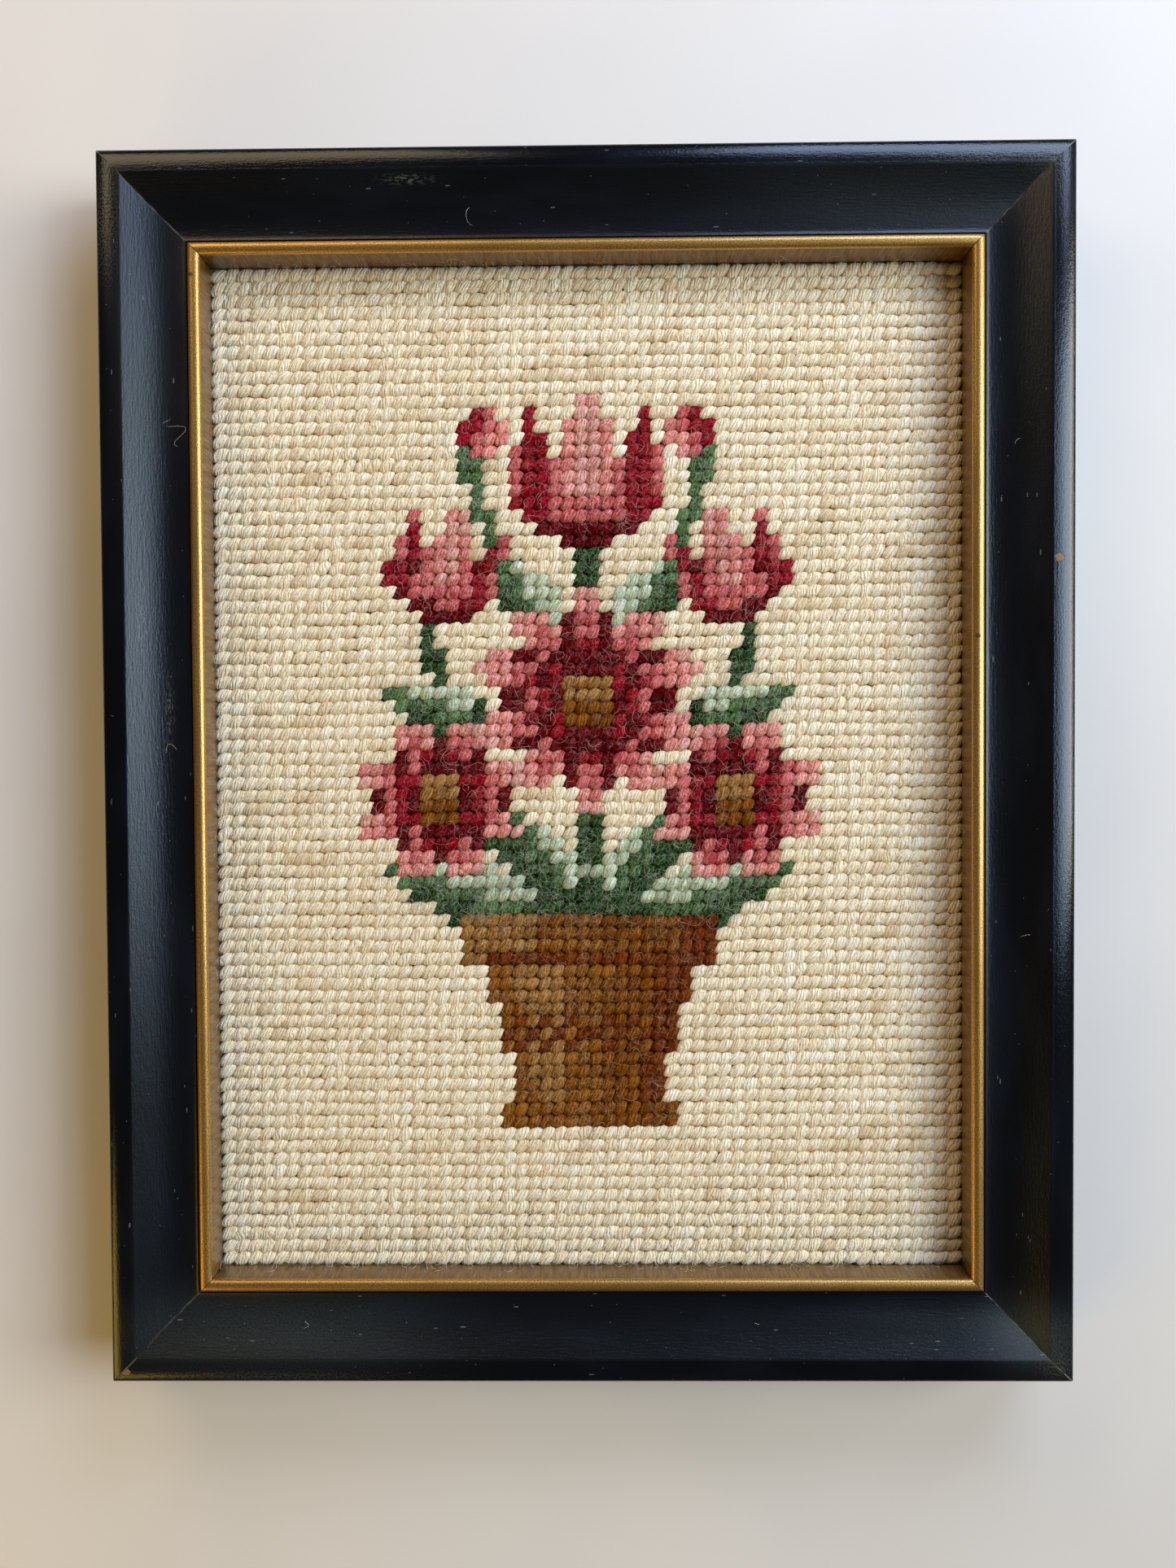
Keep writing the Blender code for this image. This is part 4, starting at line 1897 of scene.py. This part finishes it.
@dataclass(frozen=True)
class Lamp:
    """A soft rectangular light that faces the middle of the picture.

    Attributes:
        name: the lamp's name.
        azimuth: degrees from the picture's top towards its right.
        elevation: degrees above the table.
        distance: metres from the middle.
        size: its width and height in metres.
        watts: its power.
        colour: its colour.
    """

    name: str
    azimuth: float
    elevation: float
    distance: float
    size: tuple[float, float]
    watts: float
    colour: str

    def build(self) -> None:
        """Adds the lamp to the scene."""
        lamp = bpy.data.lights.new(self.name, "AREA")
        lamp.shape = "RECTANGLE"
        lamp.size, lamp.size_y = self.size
        lamp.energy = self.watts
        lamp.color = linear(self.colour)[:3]
        around, up = math.radians(self.azimuth), math.radians(self.elevation)
        spot = Vector((math.sin(around) * math.cos(up), math.cos(around) * math.cos(up), math.sin(up)))
        holder = bpy.data.objects.new(self.name, lamp)
        holder.location = spot * self.distance
        holder.rotation_euler = spot.to_track_quat("Z", "Y").to_euler()
        bpy.context.scene.collection.objects.link(holder)


@dataclass
class Studio:
    """A pale table top, soft lights and the camera above the picture.

    Attributes:
        focal_px: the lens's length in pixels of the picture's size.
        picture_px: the picture's width and height.
        eye: the camera's place.
        tilt: the camera's turn in degrees about X, Y and Z from looking straight down.
        room: how bright the room's own light is.
        room_colour: the colour of that light.
        table_reach: how far the table goes on each side of the picture's middle.
        table_lap: how far the table goes in under the frame's outer edge.
        lamps: a window at the right, other soft light that comes in low, and one for views of the back.
    """

    focal_px: float = 1449.0
    picture_px: tuple[int, int] = (1445, 1927)
    eye: tuple[float, float, float] = (2.7 * MM, 2.0 * MM, 238.5 * MM)
    tilt: tuple[float, float, float] = (-1.21, 0.66, -0.33)
    room: float = 0.06
    room_colour: str = "FFF2DE"
    table_reach: float = 1.5
    table_lap: float = 0.5 * MM
    lamps: tuple[Lamp, ...] = (
        Lamp("window_lower_half", 80, 25, 1.2, (0.6, 0.45), 3.9, "FFF6DC"),
        Lamp("window_upper_half", 80, 38, 1.2, (0.6, 0.45), 6.5, "F8FCFF"),
        Lamp("window_top", 80, 53, 1.2, (0.6, 0.3), 3.2, "D2E8FF"),
        Lamp("near_curtain", 30, 32, 0.6, (0.4, 0.2), 2.0, "CADCFF"),
        Lamp("near_wall", 330, 32, 0.6, (0.4, 0.2), 0.93, "FFDDAC"),
        Lamp("lamplit_wall", 225, 20, 0.6, (0.4, 0.2), 0.96, "FFCC50"),
        Lamp("below_table", 0, -60, 1.2, (1.0, 1.0), 12.0, "FFFFFF"),
    )

    def build(self) -> None:
        """Sets up the table, the lights and the camera."""
        self.table()
        for lamp in self.lamps:
            lamp.build()
        world = bpy.data.worlds.new("room")
        world.use_nodes = True
        background = world.node_tree.nodes["Background"]
        background.inputs[0].default_value = linear(self.room_colour)
        background.inputs[1].default_value = self.room
        bpy.context.scene.world = world
        self.camera()

    def table(self) -> None:
        """A plain pale surface. Its opening under the frame lets the back be seen and lit from below."""
        material, tree = start_material("pale_table_top")
        here = add_node(tree, "TexCoord").outputs["Object"]
        mottle = soft_grains(tree, here, (60 * MM, 60 * MM, 60 * MM), 2.0)
        share = add_node(tree, "MapRange", mottle, 0.3, 0.7, interpolation_type="SMOOTHSTEP")
        colour = add_node(tree, "Mix", share, linear("E6E3DE"), linear("E1DEDA"), data_type="RGBA")
        matt = add_node(tree, "BsdfPrincipled", named={"Base Color": colour, "Roughness": 0.6})
        behind = add_node(tree, "NewGeometry").outputs["Backfacing"]
        seen = add_node(tree, "MixShader", behind, matt, add_node(tree, "BsdfTransparent"))
        add_node(tree, "OutputMaterial", seen)
        low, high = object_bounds()
        far = self.table_reach
        hole = [edge + self.table_lap for edge in low[:2]], [edge - self.table_lap for edge in high[:2]]
        corners = []
        for (left, bottom), (right, top) in (((-far, -far), (far, far)), hole):
            corners += [(left, bottom, 0), (right, bottom, 0), (right, top, 0), (left, top, 0)]
        strips = [(side, (side + 1) % 4, 4 + (side + 1) % 4, 4 + side) for side in range(4)]
        mesh = bpy.data.meshes.new("table_top")
        mesh.from_pydata(corners, [], strips)
        mesh.materials.append(material)
        table = bpy.data.objects.new("table_top", mesh)
        bpy.context.scene.collection.objects.link(table)
        table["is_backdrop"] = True

    def camera(self) -> None:
        """The camera looks down on the picture from above its middle."""
        lens = bpy.data.cameras.new("camera")
        lens.sensor_width = 36.0
        lens.lens = self.focal_px / max(self.picture_px) * lens.sensor_width
        lens.clip_start = 10 * MM
        camera = bpy.data.objects.new("camera", lens)
        camera.location = self.eye
        camera.rotation_euler = Euler([math.radians(angle) for angle in self.tilt])
        bpy.context.scene.collection.objects.link(camera)
        bpy.context.scene.camera = camera
        bpy.context.scene.view_settings.view_transform = "Standard"


# Where the moulding is worn and scuffed, where dust and painted sheen lie on it, and where its finish is
# chipped
MARKS = (
    Mark(Wear.WORN, -89.4 * MM, 104.0 * MM, (2.4 * MM, 12.0 * MM), 1.0),
    Mark(Wear.WORN, 74.0 * MM, 113.2 * MM, (11.0 * MM, 1.6 * MM), 0.7),
    Mark(Wear.WORN, 86.0 * MM, 112.5 * MM, (5.0 * MM, 3.0 * MM), 0.8),
    Mark(Wear.WORN, -60.0 * MM, -114.9 * MM, (26.0 * MM, 1.2 * MM), 0.5),
    Mark(Wear.WORN, 88.2 * MM, -112.8 * MM, (3.2 * MM, 3.2 * MM), 0.8),
    Mark(Wear.SCUFFED, -33.0 * MM, 110.15 * MM, (4.6 * MM, 0.7 * MM), 0.9),
    Mark(Wear.SCUFFED, -84.0 * MM, 28.0 * MM, (1.0 * MM, 9.0 * MM), 0.5),
    Mark(Wear.SCUFFED, -79.6 * MM, 12.0 * MM, (0.9 * MM, 6.0 * MM), 0.5),
    # Dust, which at the lower right corner also stands for painted sheen
    Mark(Wear.DUSTY, 84.5 * MM, -107.5 * MM, (9.0 * MM, 7.0 * MM), 1.0),
    Mark(Wear.DUSTY, -62.0 * MM, -107.0 * MM, (36.0 * MM, 8.0 * MM), 0.6),
    Mark(Wear.DUSTY, -84.0 * MM, 74.0 * MM, (5.0 * MM, 26.0 * MM), 0.35),
    Mark(Wear.DUSTY, 60.0 * MM, 107.0 * MM, (40.0 * MM, 6.0 * MM), 0.3),
)
PAINT_CHIPS = {Side.RIGHT: (87.9 * MM, 39.0 * MM), Side.BOTTOM: (-88.4 * MM, -113.9 * MM)}
GILT_CHIPS = {Side.LEFT: (-74.6 * MM, 94.1 * MM), Side.RIGHT: (73.9 * MM, 24.9 * MM)}


def main() -> None:
    """Builds the pieces in the order that they are put together."""
    logging.basicConfig(level=logging.INFO, format="%(message)s")
    layout = Layout.from_frame()
    chart = Chart()
    chart.draw()
    wools = {yarn: wool.build() for yarn, wool in WOOLS.items()}
    worked = Stitching(layout, chart, wools).build() + WrongSide(layout, chart, wools).build()
    *fibres, lint = LooseFibres(layout, chart).build()
    for piece in (*worked, *fibres, lint):
        dress(piece, "wool")
    canvas = dress(Canvas(layout).build(), "wool", "needlepoint")
    paint, wood, gilt = BlackPaint().build(), BareSoftwood().build(), BronzePowderGilt().build()
    rail = BlackRail(layout, marks=MARKS, chips=PAINT_CHIPS)
    slip = GiltSlip(layout, chips=GILT_CHIPS)
    for side in Side:
        place = side.name.lower()
        dress(rail.build(side, [paint, wood]), "black_paint", f"rail_{place}")
        dress(slip.build(side, [gilt]), "gilt", f"slip_{place}")
    Studio().build()


if __name__ == "__main__":
    main()
